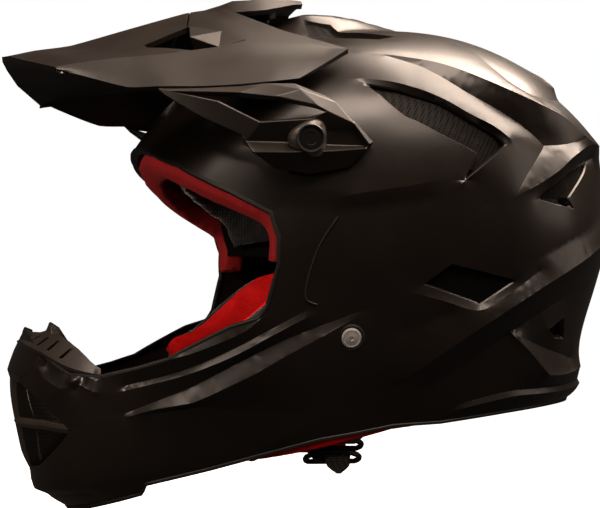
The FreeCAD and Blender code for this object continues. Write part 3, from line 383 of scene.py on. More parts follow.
    # a weak pull to zero keeps bare areas on the smooth surface
    k0 = 0.0006
    def A(x):
        y = k0*x
        d = (x[E[:, 0]]-x[E[:, 1]])*w
        y = y+np.bincount(E[:, 0], d, n)-np.bincount(E[:, 1], d, n)
        return y
    x = h.copy(); x[free] = 0
    b = -A(x); b[fixed] = 0
    z = np.zeros(n); r = b.copy(); p = r.copy(); rs = r @ r
    for it in range(1500):
        Ap = A(p); Ap[fixed] = 0
        al = rs/(p @ Ap+1e-30); z += al*p; r -= al*Ap
        rn = r @ r
        if rn < 1e-10: break
        p = r+(rn/rs)*p; rs = rn
    h = x+z
    N = normal(V2[:, 0], T)
    hd = hood(P[:, 0], P[:, 1])*(P[:, 2] > 60)
    out = P+N*(h+hd)[:, None]
    deg = np.column_stack([np.degrees(V2[:, 0]), T])
    cen = deg[F].mean(1)
    kill = np.zeros(len(F), bool)
    for poly in holes+[EYE_LOOP+[(-5, EYE_LOOP[-1][1]), (-5, EYE_LOOP[0][1])], MOUTH_LOOP+[(-5, MOUTH_LOOP[-1][1]), (-5, MOUTH_LOOP[0][1])]]:
        kill |= poly_in(poly, cen)
    kill |= cen[:, 1] < rim_t(cen[:, 0])
    F = F[~kill]
    used = np.unique(F); remap = -np.ones(n, int); remap[used] = np.arange(len(used))
    out = out[used]; F = remap[F]; U = V2[used]
    # snap the seam and mirror
    seam = (U[:, 0] < 1e-6) | (U[:, 0] > math.pi-1e-6)
    out[seam, 0] = 0
    m = len(out)
    back_i = np.arange(m)+m; back_i[seam] = np.arange(m)[seam]
    allv = np.vstack([out, out*np.array([-1, 1, 1])])
    # orientation: outward
    a, b, c = out[F[:, 0]], out[F[:, 1]], out[F[:, 2]]
    nn = np.cross(b-a, c-a); ref = (a+b+c)/3-np.array([0, -10, -5.0])
    flip = (nn*ref).sum(1) < 0
    # walls can face inwards: use the chart orientation, the same for every face
    if flip.mean() > 0.5: F = F[:, ::-1]
    F2 = back_i[F][:, ::-1]
    faces = np.vstack([F, F2])
    me = bpy.data.meshes.new("outer_shell_mesh")
    me.from_pydata((allv*MM).tolist(), [], faces.tolist())
    me.update()
    ck = set()
    for a_, b_ in crease:
        a_, b_ = int(remap[a_]), int(remap[b_])
        if a_ >= 0 and b_ >= 0:
            ck.add((min(a_, b_), max(a_, b_))); q_, r_ = int(back_i[a_]), int(back_i[b_]); ck.add((min(q_, r_), max(q_, r_)))
    for e in me.edges:
        if tuple(sorted(e.vertices)) in ck: e.use_edge_sharp = True
    ob = bpy.data.objects.new("helmet_shell", me)
    bpy.context.scene.collection.objects.link(ob)
    bm = bmesh.new(); bm.from_mesh(me)
    loose = [v for v in bm.verts if not v.link_faces]
    bmesh.ops.delete(bm, geom=loose, context="VERTS")
    # close the crown
    be = [e for e in bm.edges if len(e.link_faces) == 1]
    topv = [e for e in be if all(abs(v.co.x) < 0.006 and abs(v.co.y-0.016) < 0.008 and v.co.z > 0.1 for v in e.verts)]
    if topv: bmesh.ops.holes_fill(bm, edges=topv, sides=0)
    bmesh.ops.remove_doubles(bm, verts=bm.verts, dist=1e-6)
    for e in bm.edges:
        if not e.smooth and len(e.link_faces) == 2 and e.calc_face_angle(0) < math.radians(9): e.smooth = True
    for f in bm.faces: f.smooth = True
    bm.to_mesh(me); bm.free()
    return ob

EYE_TOP = [(0,7.16),(10,7.11),(20,6.98),(35.5,6.68),(47.5,6.33),(57,6.03),(63,5.8),(68.5,5.57)]
EYE_BACK = [(72.2,5.1),(73.8,4.6),(73.7,4.2),(73.5,3.83),(72.5,3.6)]
EYE_LOW = [(68,3.5),(63,3.27),(57,3.0),(50.5,2.9),(42,2.83)]
EYE_CHIN = [(34,2.95),(24,3.35),(12,3.75),(0,3.9)]
EYE_LOOP = EYE_TOP+EYE_BACK+EYE_LOW+EYE_CHIN
def chart_of_front(x, z, t0=2.0, p0=15.0):
    """(phi, t) of the front surface point at this x and z."""
    p, t = R(p0), t0
    for k in range(60):
        q = base(p, t); dp = (base(p+1e-3, t)-q)/1e-3; dt = (base(p, t+1e-3)-q)/1e-3
        J = np.array([[dp[0], dt[0]], [dp[2], dt[2]]]); e = np.array([x-q[0], z-q[2]])
        s = np.linalg.lstsq(J, e, rcond=None)[0]
        p = min(max(p+float(np.clip(s[0], -0.15, 0.15)), 1e-4), 1.4); t = min(max(t+float(np.clip(s[1], -0.3, 0.3)), 0.05), 5)
    return (math.degrees(p), t)
MOUTH_LOOP = [(0,2.93),(6,2.92),(12.9,2.87),(19.3,2.66),(23.8,2.44),(28.1,2.18),(32.0,1.91),(30.4,1.81),(23.8,1.57),(13.7,1.34),(0,1.30)]
MOUTH_H = [0.9, 0.9, 0.8, 0.6, 0.6, 0.6, 0.6, 0.2, -0.6, -1.6, -1.8]
TOPV = [(24,10.62),(36.5,10.87),(60,10.72),(84,10.44),(77,10.17),(50,10.2)]

shell = build_shell()


# ---------------------------------------------------------------- materials
def mat(name):
    m = bpy.data.materials.new(name); m.use_nodes = True
    return m, m.node_tree, m.node_tree.nodes["Principled BSDF"]
def tex(nt, kind, **k):
    n = nt.nodes.new(kind)
    for a, b in k.items():
        a2 = a.replace("_", " ")
        if a2 in n.inputs: n.inputs[a2].default_value = b
        else: setattr(n, a, b)
    return n
def ramp(nt, stops):
    n = nt.nodes.new("ShaderNodeValToRGB"); cr = n.color_ramp
    while len(cr.elements) > 1: cr.elements.remove(cr.elements[-1])
    cr.elements[0].position = stops[0][0]; cr.elements[0].color = (*stops[0][1], 1)
    for p, c in stops[1:]:
        e = cr.elements.new(p); e.color = (*c, 1)
    return n
def plastic(name, col, rough, coat=0.0, coat_rough=0.2, peel=0.04, scale=700, spec=0.5, var=0.25, metal=0.0, dr=0.05):
    m, nt, b = mat(name)
    tc = nt.nodes.new("ShaderNodeTexCoord")
    n1 = tex(nt, "ShaderNodeTexNoise", Scale=26.0, Detail=4.0, Roughness=0.55)
    nt.links.new(tc.outputs["Object"], n1.inputs["Vector"])
    cr = ramp(nt, [(0.3, tuple(c*(1-var) for c in col)), (0.7, tuple(c*(1+var) for c in col))])
    nt.links.new(n1.outputs["Fac"], cr.inputs["Fac"]); nt.links.new(cr.outputs["Color"], b.inputs["Base Color"])
    n2 = tex(nt, "ShaderNodeTexNoise", Scale=60.0, Detail=6.0, Roughness=0.6)
    nt.links.new(tc.outputs["Object"], n2.inputs["Vector"])
    mr = tex(nt, "ShaderNodeMapRange"); mr.inputs["To Min"].default_value = rough-dr; mr.inputs["To Max"].default_value = rough+dr
    nt.links.new(n2.outputs["Fac"], mr.inputs["Value"]); nt.links.new(mr.outputs["Result"], b.inputs["Roughness"])
    n3 = tex(nt, "ShaderNodeTexNoise", Scale=float(scale), Detail=2.0)
    nt.links.new(tc.outputs["Object"], n3.inputs["Vector"])
    bp = tex(nt, "ShaderNodeBump", Strength=peel, Distance=0.0004)
    nt.links.new(n3.outputs["Fac"], bp.inputs["Height"]); nt.links.new(bp.outputs["Normal"], b.inputs["Normal"])
    b.inputs["Specular IOR Level"].default_value = spec
    b.inputs["Metallic"].default_value = metal
    b.inputs["Coat Weight"].default_value = coat; b.inputs["Coat Roughness"].default_value = coat_rough
    return m
def fabric(name, dark, light, cell=1500.0, sheen=0.5, bump=0.6, rough=0.85, kind="knit", ribs=0.0):
    """Knitted or air-mesh cloth: rows of small cells from a Voronoi pattern, with soft mottling."""
    m, nt, b = mat(name)
    tc = nt.nodes.new("ShaderNodeTexCoord")
    vo = tex(nt, "ShaderNodeTexVoronoi", Scale=cell); vo.feature = "F1"
    if "Randomness" in vo.inputs: vo.inputs["Randomness"].default_value = 0.25 if kind == "knit" else 0.05
    nt.links.new(tc.outputs["Object"], vo.inputs["Vector"])
    n1 = tex(nt, "ShaderNodeTexNoise", Scale=45.0, Detail=5.0, Roughness=0.6)
    nt.links.new(tc.outputs["Object"], n1.inputs["Vector"])
    cr = ramp(nt, [(0.0, light), (0.45, tuple((a+c)/2 for a, c in zip(dark, light))), (0.85, dark)])
    nt.links.new(vo.outputs["Distance"], cr.inputs["Fac"])
    mx = nt.nodes.new("ShaderNodeMixRGB"); mx.blend_type = "MULTIPLY"; mx.inputs["Fac"].default_value = 0.55
    cr2 = ramp(nt, [(0.3, (0.62, 0.62, 0.62)), (0.7, (1.0, 1.0, 1.0))])
    nt.links.new(n1.outputs["Fac"], cr2.inputs["Fac"])
    nt.links.new(cr.outputs["Color"], mx.inputs["Color1"]); nt.links.new(cr2.outputs["Color"], mx.inputs["Color2"])
    nt.links.new(mx.outputs["Color"], b.inputs["Base Color"])
    mr = tex(nt, "ShaderNodeMapRange"); mr.inputs["To Min"].default_value = rough-0.08; mr.inputs["To Max"].default_value = min(1, rough+0.08)
    nt.links.new(n1.outputs["Fac"], mr.inputs["Value"]); nt.links.new(mr.outputs["Result"], b.inputs["Roughness"])
    bp = tex(nt, "ShaderNodeBump", Strength=bump, Distance=0.0006); bp.invert = True
    nt.links.new(vo.outputs["Distance"], bp.inputs["Height"])
    bp2 = tex(nt, "ShaderNodeBump", Strength=0.25, Distance=0.002)
    nt.links.new(n1.outputs["Fac"], bp2.inputs["Height"]); nt.links.new(bp.outputs["Normal"], bp2.inputs["Normal"])
    nt.links.new(bp2.outputs["Normal"], b.inputs["Normal"])
    b.inputs["Sheen Weight"].default_value = sheen; b.inputs["Sheen Roughness"].default_value = 0.4
    b.inputs["Specular IOR Level"].default_value = 0.25
    return m
def webbing(name, axis):
    """Woven strap: fine ribs across its length and a chevron along it."""
    m, nt, b = mat(name)
    tc = nt.nodes.new("ShaderNodeTexCoord")
    w1 = tex(nt, "ShaderNodeTexWave", Scale=260.0, Distortion=0.6, Detail=1.0); w1.bands_direction = axis
    w2 = tex(nt, "ShaderNodeTexWave", Scale=190.0, Distortion=1.0, Detail=1.0); w2.bands_direction = "DIAGONAL"
    nt.links.new(tc.outputs["Object"], w1.inputs["Vector"]); nt.links.new(tc.outputs["Object"], w2.inputs["Vector"])
    ma = nt.nodes.new("ShaderNodeMath"); ma.operation = "MULTIPLY"
    nt.links.new(w1.outputs["Fac"], ma.inputs[0]); nt.links.new(w2.outputs["Fac"], ma.inputs[1])
    cr = ramp(nt, [(0.0, (0.008, 0.008, 0.008)), (1.0, (0.045, 0.043, 0.042))])
    nt.links.new(ma.outputs["Value"], cr.inputs["Fac"]); nt.links.new(cr.outputs["Color"], b.inputs["Base Color"])
    mr = tex(nt, "ShaderNodeMapRange"); mr.inputs["To Min"].default_value = 0.6; mr.inputs["To Max"].default_value = 0.8
    nt.links.new(w1.outputs["Fac"], mr.inputs["Value"]); nt.links.new(mr.outputs["Result"], b.inputs["Roughness"])
    bp = tex(nt, "ShaderNodeBump", Strength=0.8, Distance=0.0004)
    nt.links.new(ma.outputs["Value"], bp.inputs["Height"]); nt.links.new(bp.outputs["Normal"], b.inputs["Normal"])
    b.inputs["Sheen Weight"].default_value = 0.3
    return m
def perforated(name):
    """Pressed mesh: rows of round holes, pressed in by a bump and painted near black; the hole colour is painted shade.
    """
    m, nt, b = mat(name)
    tc = nt.nodes.new("ShaderNodeTexCoord")
    mp = tex(nt, "ShaderNodeMapping"); mp.inputs["Rotation"].default_value = (0.5, 0.3, 0.6)
    vo = tex(nt, "ShaderNodeTexVoronoi", Scale=640.0, Randomness=0.0); vo.feature = "F1"
    nt.links.new(tc.outputs["Object"], mp.inputs["Vector"]); nt.links.new(mp.outputs["Vector"], vo.inputs["Vector"])
    # near-black inside each hole is painted shade for the dark seen through it; the plate around the holes keeps its
    # own black
    cr = ramp(nt, [(0.0, (0.0015, 0.0015, 0.0015)), (0.30, (0.0015, 0.0015, 0.0015)), (0.42, (0.006, 0.0055, 0.005)), (1.0, (0.009, 0.0085, 0.008))])
    nt.links.new(vo.outputs["Distance"], cr.inputs["Fac"]); nt.links.new(cr.outputs["Color"], b.inputs["Base Color"])
    cr2 = ramp(nt, [(0.30, (0.95, 0.95, 0.95)), (0.42, (0.62, 0.62, 0.62))])
    nt.links.new(vo.outputs["Distance"], cr2.inputs["Fac"]); nt.links.new(cr2.outputs["Color"], b.inputs["Roughness"])
    bp = tex(nt, "ShaderNodeBump", Strength=1.0, Distance=0.0012)
    nt.links.new(cr.outputs["Color"], bp.inputs["Height"]); nt.links.new(bp.outputs["Normal"], b.inputs["Normal"])
    b.inputs["Specular IOR Level"].default_value = 0.15
    return m
M_SHELL = plastic("satin_black_lacquer", (0.0095, 0.0068, 0.005), 0.33, 0.20, 0.18, 0.05, 900)
M_PEAK = plastic("satin_black_peak", (0.0125, 0.0088, 0.0062), 0.38, 0.10, 0.24, 0.10, 900)
M_RUBBER = plastic("trim_rubber", (0.010, 0.010, 0.0095), 0.60, 0, 0.3, 0.3, 1500)
M_BLACKP = plastic("black_moulded", (0.010, 0.0095, 0.009), 0.46, 0, 0.3, 0.2, 1200)
M_FOAM = plastic("foam_black", (0.012, 0.012, 0.012), 0.85, 0, 0.3, 0.9, 400, spec=0.2)
M_KNOB = plastic("knob_lacquer", (0.105, 0.095, 0.085), 0.27, 0.3, 0.1, 0.03, 900, metal=0.5)
M_DISC = plastic("screw_black", (0.006, 0.006, 0.006), 0.30, 0.2, 0.15, 0.05, 900)
M_RIVET = plastic("rivet_nickel", (0.62, 0.60, 0.57), 0.42, 0.2, 0.2, 0.05, 1400, metal=0.55)
# near-black matte colour for the vent inserts: painted shade standing in for the dark inside the openings
M_HOLE_SHADE = plastic("deep_black_painted_shade", (0.0025, 0.0023, 0.0022), 0.85, 0, 0.3, 0.6, 900, spec=0.1)
M_RINGS = plastic("ring_black_steel", (0.05, 0.048, 0.046), 0.34, 0, 0.2, 0.05, 1400, metal=1.0)
M_STEEL = plastic("steel_brushed", (0.62, 0.60, 0.58), 0.22, 0, 0.2, 0.08, 1400, metal=1.0, dr=0.08, var=0.15)
M_DARKSTEEL = plastic("steel_ring", (0.35, 0.34, 0.33), 0.30, 0, 0.2, 0.05, 1400, metal=1.0)
M_RED = fabric("red_brushed_knit", (0.55, 0.001, 0.001), (0.95, 0.002, 0.002), 1500.0, 0.0, 0.5)
# darker copy of the red lining fabric: painted shade for the brow roll, which sits in shade under the peak
M_RED_PAINTED_SHADE = fabric("red_fabric_painted_shade", (0.11, 0.0005, 0.0006), (0.25, 0.0012, 0.0016), 1500.0, 0.0, 0.5)
M_REDMESH = fabric("red_air_mesh", (0.03, 0.002, 0.002), (0.42, 0.006, 0.008), 620.0, 0.1, 1.0, kind="air")
M_BLACKF = fabric("black_knit", (0.004, 0.004, 0.004), (0.018, 0.017, 0.017), 1300.0, 0.25, 0.6)
M_BLACKMESH = fabric("black_air_mesh", (0.002, 0.002, 0.002), (0.02, 0.019, 0.019), 560.0, 0.2, 1.0, kind="air")
M_PIPE = fabric("grey_piping", (0.04, 0.038, 0.036), (0.16, 0.15, 0.145), 1800.0, 0.2, 0.4)
M_MESH = perforated("pressed_mesh")
M_WEB = webbing("webbing", "Z")
M_WEBX = webbing("webbing_x", "X")
M_THREAD = plastic("thread_black", (0.02, 0.02, 0.02), 0.7, 0, 0.3, 0.3, 1500)

def put(ob, m):
    ob.data.materials.clear(); ob.data.materials.append(m)
def own(ob, m, slot, body="helmet", *nodes):
    put(ob, m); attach(ob, body)
    if nodes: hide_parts(*nodes)
    return ob
def mesh_obj(name, verts, faces, scale=MM):
    me = bpy.data.meshes.new(name+"_mesh")
    me.from_pydata([tuple(c*scale for c in v) for v in verts], [], faces); me.update()
    ob = bpy.data.objects.new(name, me); bpy.context.scene.collection.objects.link(ob)
    return ob
def sharpen(me, deg=28.0):
    bm = bmesh.new(); bm.from_mesh(me)
    for f in bm.faces: f.smooth = True
    for e in bm.edges:
        e.smooth = not (len(e.link_faces) != 2 or e.calc_face_angle(0) > math.radians(deg))
    bm.to_mesh(me); bm.free()
def settle(ob):
    """Applies the modifiers to the mesh."""
    dg = bpy.context.evaluated_depsgraph_get(); dg.update()
    me = bpy.data.meshes.new_from_object(ob.evaluated_get(dg), depsgraph=dg)
    ob.modifiers.clear(); old = ob.data; ob.data = me; bpy.data.meshes.remove(old)
def bevel(ob, width, seg=2, ang=28.0):
    md = ob.modifiers.new("edge", "BEVEL"); md.width = width*MM; md.segments = seg; md.limit_method = "ANGLE"; md.angle_limit = math.radians(ang)
    md.harden_normals = False; md.use_clamp_overlap = True
    return md
def cut(ob, cutters):
    for c in cutters:
        md = ob.modifiers.new("cut", "BOOLEAN"); md.operation = "DIFFERENCE"; md.solver = "EXACT"; md.object = c
    bpy.context.view_layer.update(); settle(ob)
    for c in cutters: 
        me = c.data; bpy.data.objects.remove(c); bpy.data.meshes.remove(me)
def mirror_pts(v): return [(-x, y, z) for x, y, z in v]
def mirrored(ob, name, body, slot, *nodes):
    """A copy of a left-hand piece on the right-hand side."""
    me = ob.data.copy(); me.name = name+"_mesh"
    bm = bmesh.new(); bm.from_mesh(me)
    for v in bm.verts: v.co.x = -v.co.x
    bmesh.ops.reverse_faces(bm, faces=bm.faces); bm.to_mesh(me); bm.free()
    o = bpy.data.objects.new(name, me); bpy.context.scene.collection.objects.link(o)
    for md in ob.modifiers:
        n = o.modifiers.new(md.name, md.type)
        for p in md.bl_rna.properties:
            if not p.is_readonly and p.identifier not in ("name",):
                try: setattr(n, p.identifier, getattr(md, p.identifier))
                except Exception: pass
    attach(o, body)
    if nodes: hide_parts(*nodes)
    return o

own(shell, M_SHELL, "shell_black", "helmet", "outer_shell")
md = shell.modifiers.new("wall", "SOLIDIFY"); md.thickness = 0.0030; md.offset = -1; md.use_even_offset = False; md.use_rim = True

# ------------------------------------------------------------------- peak
PK = [[(0,-208,101.8),(22,-205,99.6),(50,-198,94),(84,-182.8,86.3),(84.3,-181.5,84.8)],
 [(0,-190,104.8),(22,-190.5,103),(52,-184,97),(82.5,-171,89),(88.5,-169,81.6)],
 [(0,-169,108),(22,-170.5,106.2),(52,-165,99),(81,-151,92),(97.5,-146,74.9)],
 [(0,-138,118),(22,-139,116),(52,-135,105),(80,-130,94.5),(101,-129,75.3)],
 [(0,-107,127.5),(22,-107,125.8),(52,-108,112),(80,-109,96.8),(103,-106,75.6)],
 [(0,-93,130),(22,-93,128.4),(54,-88,114.8),(83.5,-80,98.7),(105,-86,76.9)],
 [(0,-88.5,131.3),(26,-88.5,128.4),(59,-73,113.4),(87.5,-53,98.8),(106,-72,78.4)],
 [(0,-84,132.6),(30,-84,127.6),(64,-58,111.6),(92,-27,98.6),(103,-55.5,80.8)]]
def build_blade():
    G = np.array(PK, float)
    # finer rows, a smooth curve through each column
    K = 4; rows = []
    n = len(G)
    for i in range(n-1):
        p0 = G[max(i-1, 0)]; p1 = G[i]; p2 = G[i+1]; p3 = G[min(i+2, n-1)]
        for k in range(K):
            f = k/K
            c = 0.5*((2*p1)+(-p0+p2)*f+(2*p0-5*p1+4*p2-p3)*f*f+(-p0+3*p1-3*p2+p3)*f**3)
            l = p1+(p2-p1)*f
            q = 0.5*c+0.5*l
            rows.append(q)
    rows.append(G[-1])
    R_ = np.array(rows)           # rows x 5 x 3
    cols = []
    seg = [2, 3, 3, 3]
    for j in range(4):
        for k in range(seg[j]):
            f = k/seg[j]; q = R_[:, j]*(1-f)+R_[:, j+1]*f
            if j == 3: q = q+np.array([1.2, 0, -0.5])*(4*f*(1-f))*0.6
            cols.append(q)
    cols.append(R_[:, 4])
    H = np.stack(cols, 1)         # rows x 12 x 3
    nr, nc = H.shape[:2]
    full = np.concatenate([H[:, :0:-1]*np.array([-1, 1, 1]), H], 1)
    # even thickness below
    du = np.gradient(full, axis=1); dv = np.gradient(full, axis=0)
    nn = np.cross(du, dv); nn /= np.linalg.norm(nn, axis=2, keepdims=True)
    nn[nn[..., 2] < 0] *= -1
    low = full-nn*3.0
    nr, nc = full.shape[:2]
    V = [tuple(p) for p in full.reshape(-1, 3)]+[tuple(p) for p in low.reshape(-1, 3)]
    o = nr*nc; F = []
    idx = lambda i, j: i*nc+j
    for i in range(nr-1):
        for j in range(nc-1):
            a, b, c, d = idx(i, j), idx(i, j+1), idx(i+1, j+1), idx(i+1, j)
            F.append((a, b, c, d)); F.append((o+a, o+d, o+c, o+b))
    for i in range(nr-1):
        F.append((idx(i, 0), idx(i+1, 0), o+idx(i+1, 0), o+idx(i, 0)))
        F.append((idx(i+1, nc-1), idx(i, nc-1), o+idx(i, nc-1), o+idx(i+1, nc-1)))
    for j in range(nc-1):
        F.append((idx(0, j+1), idx(0, j), o+idx(0, j), o+idx(0, j+1)))
        F.append((idx(nr-1, j), idx(nr-1, j+1), o+idx(nr-1, j+1), o+idx(nr-1, j)))
    ob = mesh_obj("peak_blade", V, F)
    bm = bmesh.new(); bm.from_mesh(ob.data)
    bmesh.ops.recalc_face_normals(bm, faces=bm.faces); bm.to_mesh(ob.data); bm.free()
    return ob
def prism(name, pts, d, lo, hi):
    """Closed prism through the outline pts along direction d, from lo to hi."""
    d = np.array(d, float); d /= np.linalg.norm(d); n = len(pts)
    V = [tuple(np.array(p)+d*lo) for p in pts]+[tuple(np.array(p)+d*hi) for p in pts]
    F = [tuple(range(n))[::-1], tuple(range(n, 2*n))]+[(i, (i+1) % n, n+(i+1) % n, n+i) for i in range(n)]
    ob = mesh_obj(name, V, F)
    bm = bmesh.new(); bm.from_mesh(ob.data); bmesh.ops.recalc_face_normals(bm, faces=bm.faces); bm.to_mesh(ob.data); bm.free()
    return ob
blade = build_blade()
VENT = [(58.9,-133.4,102.5),(45.9,-107.8,114.8),(60.4,-90.9,110.4),(73.4,-79.6,104.5),(77.5,-94.3,100.1),(78.2,-110.2,97.3),(64.5,-132.3,100.0)]
cutters = []
for s in (1, -1):
    pts = [(s*x, y, z) for x, y, z in VENT]
    cutters.append(prism("cv", pts, (s*0.42, 0, 0.9), -12, 10))
# narrow gap between the front of the peak and its raised hood, swept back towards the middle
slotpts = [(-45,-107.8,114.5),(-23.4,-103.9,124.8),(0,-99.8,129.2),(23.4,-103.9,124.8),(45,-107.8,114.5)]
V_ = [(x, y-0.9, z+5) for x, y, z in slotpts]+[(x, y-0.9, z-8) for x, y, z in slotpts][::-1]
W_ = [(x, y+0.9, z) for x, y, z in V_]
nS = len(V_)
sl = mesh_obj("cs", V_+W_, [tuple(range(nS)), tuple(range(nS, 2*nS))[::-1]]+[(i, nS+i, nS+(i+1) % nS, (i+1) % nS) for i in range(nS)])
bm = bmesh.new(); bm.from_mesh(sl.data); bmesh.ops.triangulate(bm, faces=bm.faces); bmesh.ops.recalc_face_normals(bm, faces=bm.faces); bm.to_mesh(sl.data); bm.free()
cutters.append(sl)
cut(blade, cutters)
sharpen(blade.data, 15)
bevel(blade, 0.45, 2, 24)
own(blade, M_PEAK, "shell_black", "peak", "peak")

# scoop walls of the two peak vents
def scoop(s):
    V = [(s*x, y, z) for x, y, z in [(46.2,-107.2,114.3),(60.4,-90.9,110.0),(73.4,-79.6,104.1),(77.3,-94.6,99.4),(68.0,-109.4,105.6),(66.0,-106.4,100.6),(74.0,-93.5,94.0)]]
    F = [(0, 1, 4), (1, 3, 4), (1, 2, 3), (4, 3, 6, 5)]
    if s < 0: F = [f[::-1] for f in F]
    ob = mesh_obj("peak_scoop_left" if s > 0 else "peak_scoop_right", V, F)
    md = ob.modifiers.new("wall", "SOLIDIFY"); md.thickness = 0.0020; md.offset = 0; md.use_even_offset = False
    bevel(ob, 0.35)
    return own(ob, M_PEAK, "shell_black", "peak", "peak")
scoop(1); scoop(-1)

# tab over the crown that takes the top screw
def tab():
    # (y, half width of the flat, z of the flat, half width of the flank, z of its foot)
    S = [(-97,15,128.3,25,126.4),(-86,20,131.4,31,125.4),(-80,22.5,133.6,32.5,125.6),(-62,22.5,135.0,31,127.8),(-46,21.5,135.3,28.5,131.5),(-40,19.5,135.0,25,132.5)]
    V = []; n = len(S)
    for y, a, z, b, zf in S:
        V += [(-b, y, zf), (-a, y, z), (0, y, z+0.5), (a, y, z), (b, y, zf)]
    F = []
    for i in range(n-1):
        for j in range(4):
            F.append((i*5+j, i*5+j+1, (i+1)*5+j+1, (i+1)*5+j))
    ob = mesh_obj("peak_tab", V, F)
    bm = bmesh.new(); bm.from_mesh(ob.data); bmesh.ops.recalc_face_normals(bm, faces=bm.faces)
    up_ = sum(f.normal.z for f in bm.faces)
    if up_ < 0: bmesh.ops.reverse_faces(bm, faces=bm.faces)
    bm.to_mesh(ob.data); bm.free()
    md = ob.modifiers.new("wall", "SOLIDIFY"); md.thickness = 0.0030; md.offset = -1
    settle(ob)
    seg = 20; cyl_pts = []
    for k in range(seg): 
        a = 2*math.pi*k/seg; cyl_pts.append((3.6*math.cos(a), -58+3.6*math.sin(a)+(9 if math.sin(a) > 0 else -9), 120))
    cut(ob, [prism("ct", cyl_pts, (0, 0, 1), 0, 30)])
    sharpen(ob.data, 20)
    bevel(ob, 0.5, 2, 20)
    return own(ob, M_PEAK, "shell_black", "peak", "peak")
tab()

# side arms with their facets; (x, y, z) of the left one
AR = {
 "BE0": (100,-131,74.6), "BE1": (103,-106,74.8), "BE2": (105,-86,76.0), "A1": (108,-75,77.2), "A2": (110,-59.5,77.2), "A3": (114,-43.2,70.4), "A4": (118.5,-38.6,66.7),
 "L2": (119.5,-57.8,73.2), "M0": (104,-124,72.6), "M1": (113.5,-90,71.6), "M2": (120,-70.6,69.0), "M3": (122.8,-50,64.5), "M4": (123,-44.3,61.5),
 "E1": (122,-30.0,55.4), "E2": (121,-21.8,44.6), "R1": (121.5,-53.3,57.3), "R2": (121.5,-79.5,55.3), "R3": (115,-100.5,66.5),
 "S1": (102.5,-126.5,70.2), "S2": (110,-108.8,58.6), "S3": (117,-88.4,48.9),
 "T0": (119.5,-48.8,54.8), "T1": (118.8,-30.4,53.2), "T2": (118.8,-43.4,51.8),
 "F1": (117.2,-86.5,45.6), "F2": (117.2,-66.1,45.4), "F3": (125.6,-66.1,39.6), "F4": (125.2,-83.5,39.4),
 "G1": (117.4,-40.7,44.2), "G2": (118.2,-22.1,44.0), "G3": (125.0,-41.8,40.6), "G4": (123.0,-23.5,42.4),
 "B1": (119.6,-71.5,31.4), "B2": (119.0,-53.0,28.6), "B3": (119.0,-31.5,32.6), "B4": (119.6,-22.6,41.5), "B0": (119.6,-83.0,39.0),
}
AF = [("BE0","BE1","M1","M0"), ("BE1","BE2","A1","M1"), ("A1","A2","L2"), ("A2","A3","L2"), ("A3","A4","L2"), ("A1","L2","M2","M1"), ("L2","A4","M3","M2"), ("A4","M4","M3"), ("A4","E1","M4"),
 ("M4","E1","T1","T2","T0"), ("M4","T0","R1"), ("T2","T1","E2","G2","G1"), ("E1","E2","T1"), ("R2","R1","T0","T2","G1","F2","F1","S3"),
 ("M0","R3","S2","S1"), ("R3","R2","S3","S2"), ("F1","F2","F3","F4"), ("G1","G2","G4","G3"), ("F2","G1","G3","F3"),
 ("F4","F3","B1","B0"), ("F3","G3","B2","B1"), ("G3","G4","B3","B2"), ("G4","G2","B4","B3"), ("BE0","M0","S1"), ("E2","B4","G2"), ("S3","F1","F4","B0")]
def arm(s):
    names = list(AR); V = [(s*AR[k][0], AR[k][1], AR[k][2]) for k in names]
    F = [tuple(names.index(k) for k in f) for f in AF]
    ob = mesh_obj("peak_arm_left" if s > 0 else "peak_arm_right", V, F)
    bm = bmesh.new(); bm.from_mesh(ob.data)
    bmesh.ops.recalc_face_normals(bm, faces=bm.faces)
    tot = sum(f.normal.x*f.calc_area() for f in bm.faces)
    if tot*s < 0: bmesh.ops.reverse_faces(bm, faces=bm.faces)
    bmesh.ops.triangulate(bm, faces=[f for f in bm.faces if len(f.verts) > 3], quad_method="BEAUTY", ngon_method="BEAUTY")
    bm.to_mesh(ob.data); bm.free()
    md = ob.modifiers.new("wall", "SOLIDIFY"); md.thickness = 0.0032; md.offset = -1; md.use_even_offset = False
    settle(ob); sharpen(ob.data, 12)
    bevel(ob, 0.45, 2, 14)
    return own(ob, M_PEAK, "shell_black", "peak", "peak")
arm(1); arm(-1)

# ------------------------------------------------------------------ knobs
def lathe(name, prof, centre, axis, seg=48, lobes=None):
    """Turned part: prof is (radius, height) from the outer foot to the middle; lobes(theta, r) can change a radius."""
    ax = Vector(axis).normalized(); a = Vector((0, 0, 1)) if abs(ax.z) < 0.9 else Vector((0, 1, 0))
    e1 = a.cross(ax).normalized(); e2 = ax.cross(e1)
    V = []; F = []; n = len(prof); c = Vector(centre)
    for k in range(seg):
        th = 2*math.pi*k/seg; d = e1*math.cos(th)+e2*math.sin(th)
        for r, h in prof:
            rr = lobes(th, r) if lobes else r
            V.append(tuple(c+d*rr+ax*h))
    for k in range(seg):
        for i in range(n-1):
            a0 = k*n+i; b0 = ((k+1) % seg)*n+i
            F.append((a0, b0, b0+1, a0+1))
    V.append(tuple(c+ax*prof[-1][1])); F += [(k*n+n-1, ((k+1) % seg)*n+n-1, len(V)-1) for k in range(seg)]
    ob = mesh_obj(name, V, F)
    bm = bmesh.new(); bm.from_mesh(ob.data); bmesh.ops.remove_doubles(bm, verts=bm.verts, dist=1e-6); bmesh.ops.recalc_face_normals(bm, faces=bm.faces)
    bm.to_mesh(ob.data); bm.free(); sharpen(ob.data, 32)
    return ob
sb = {s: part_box("peak_screw_"+s) for s in ("left", "right")}
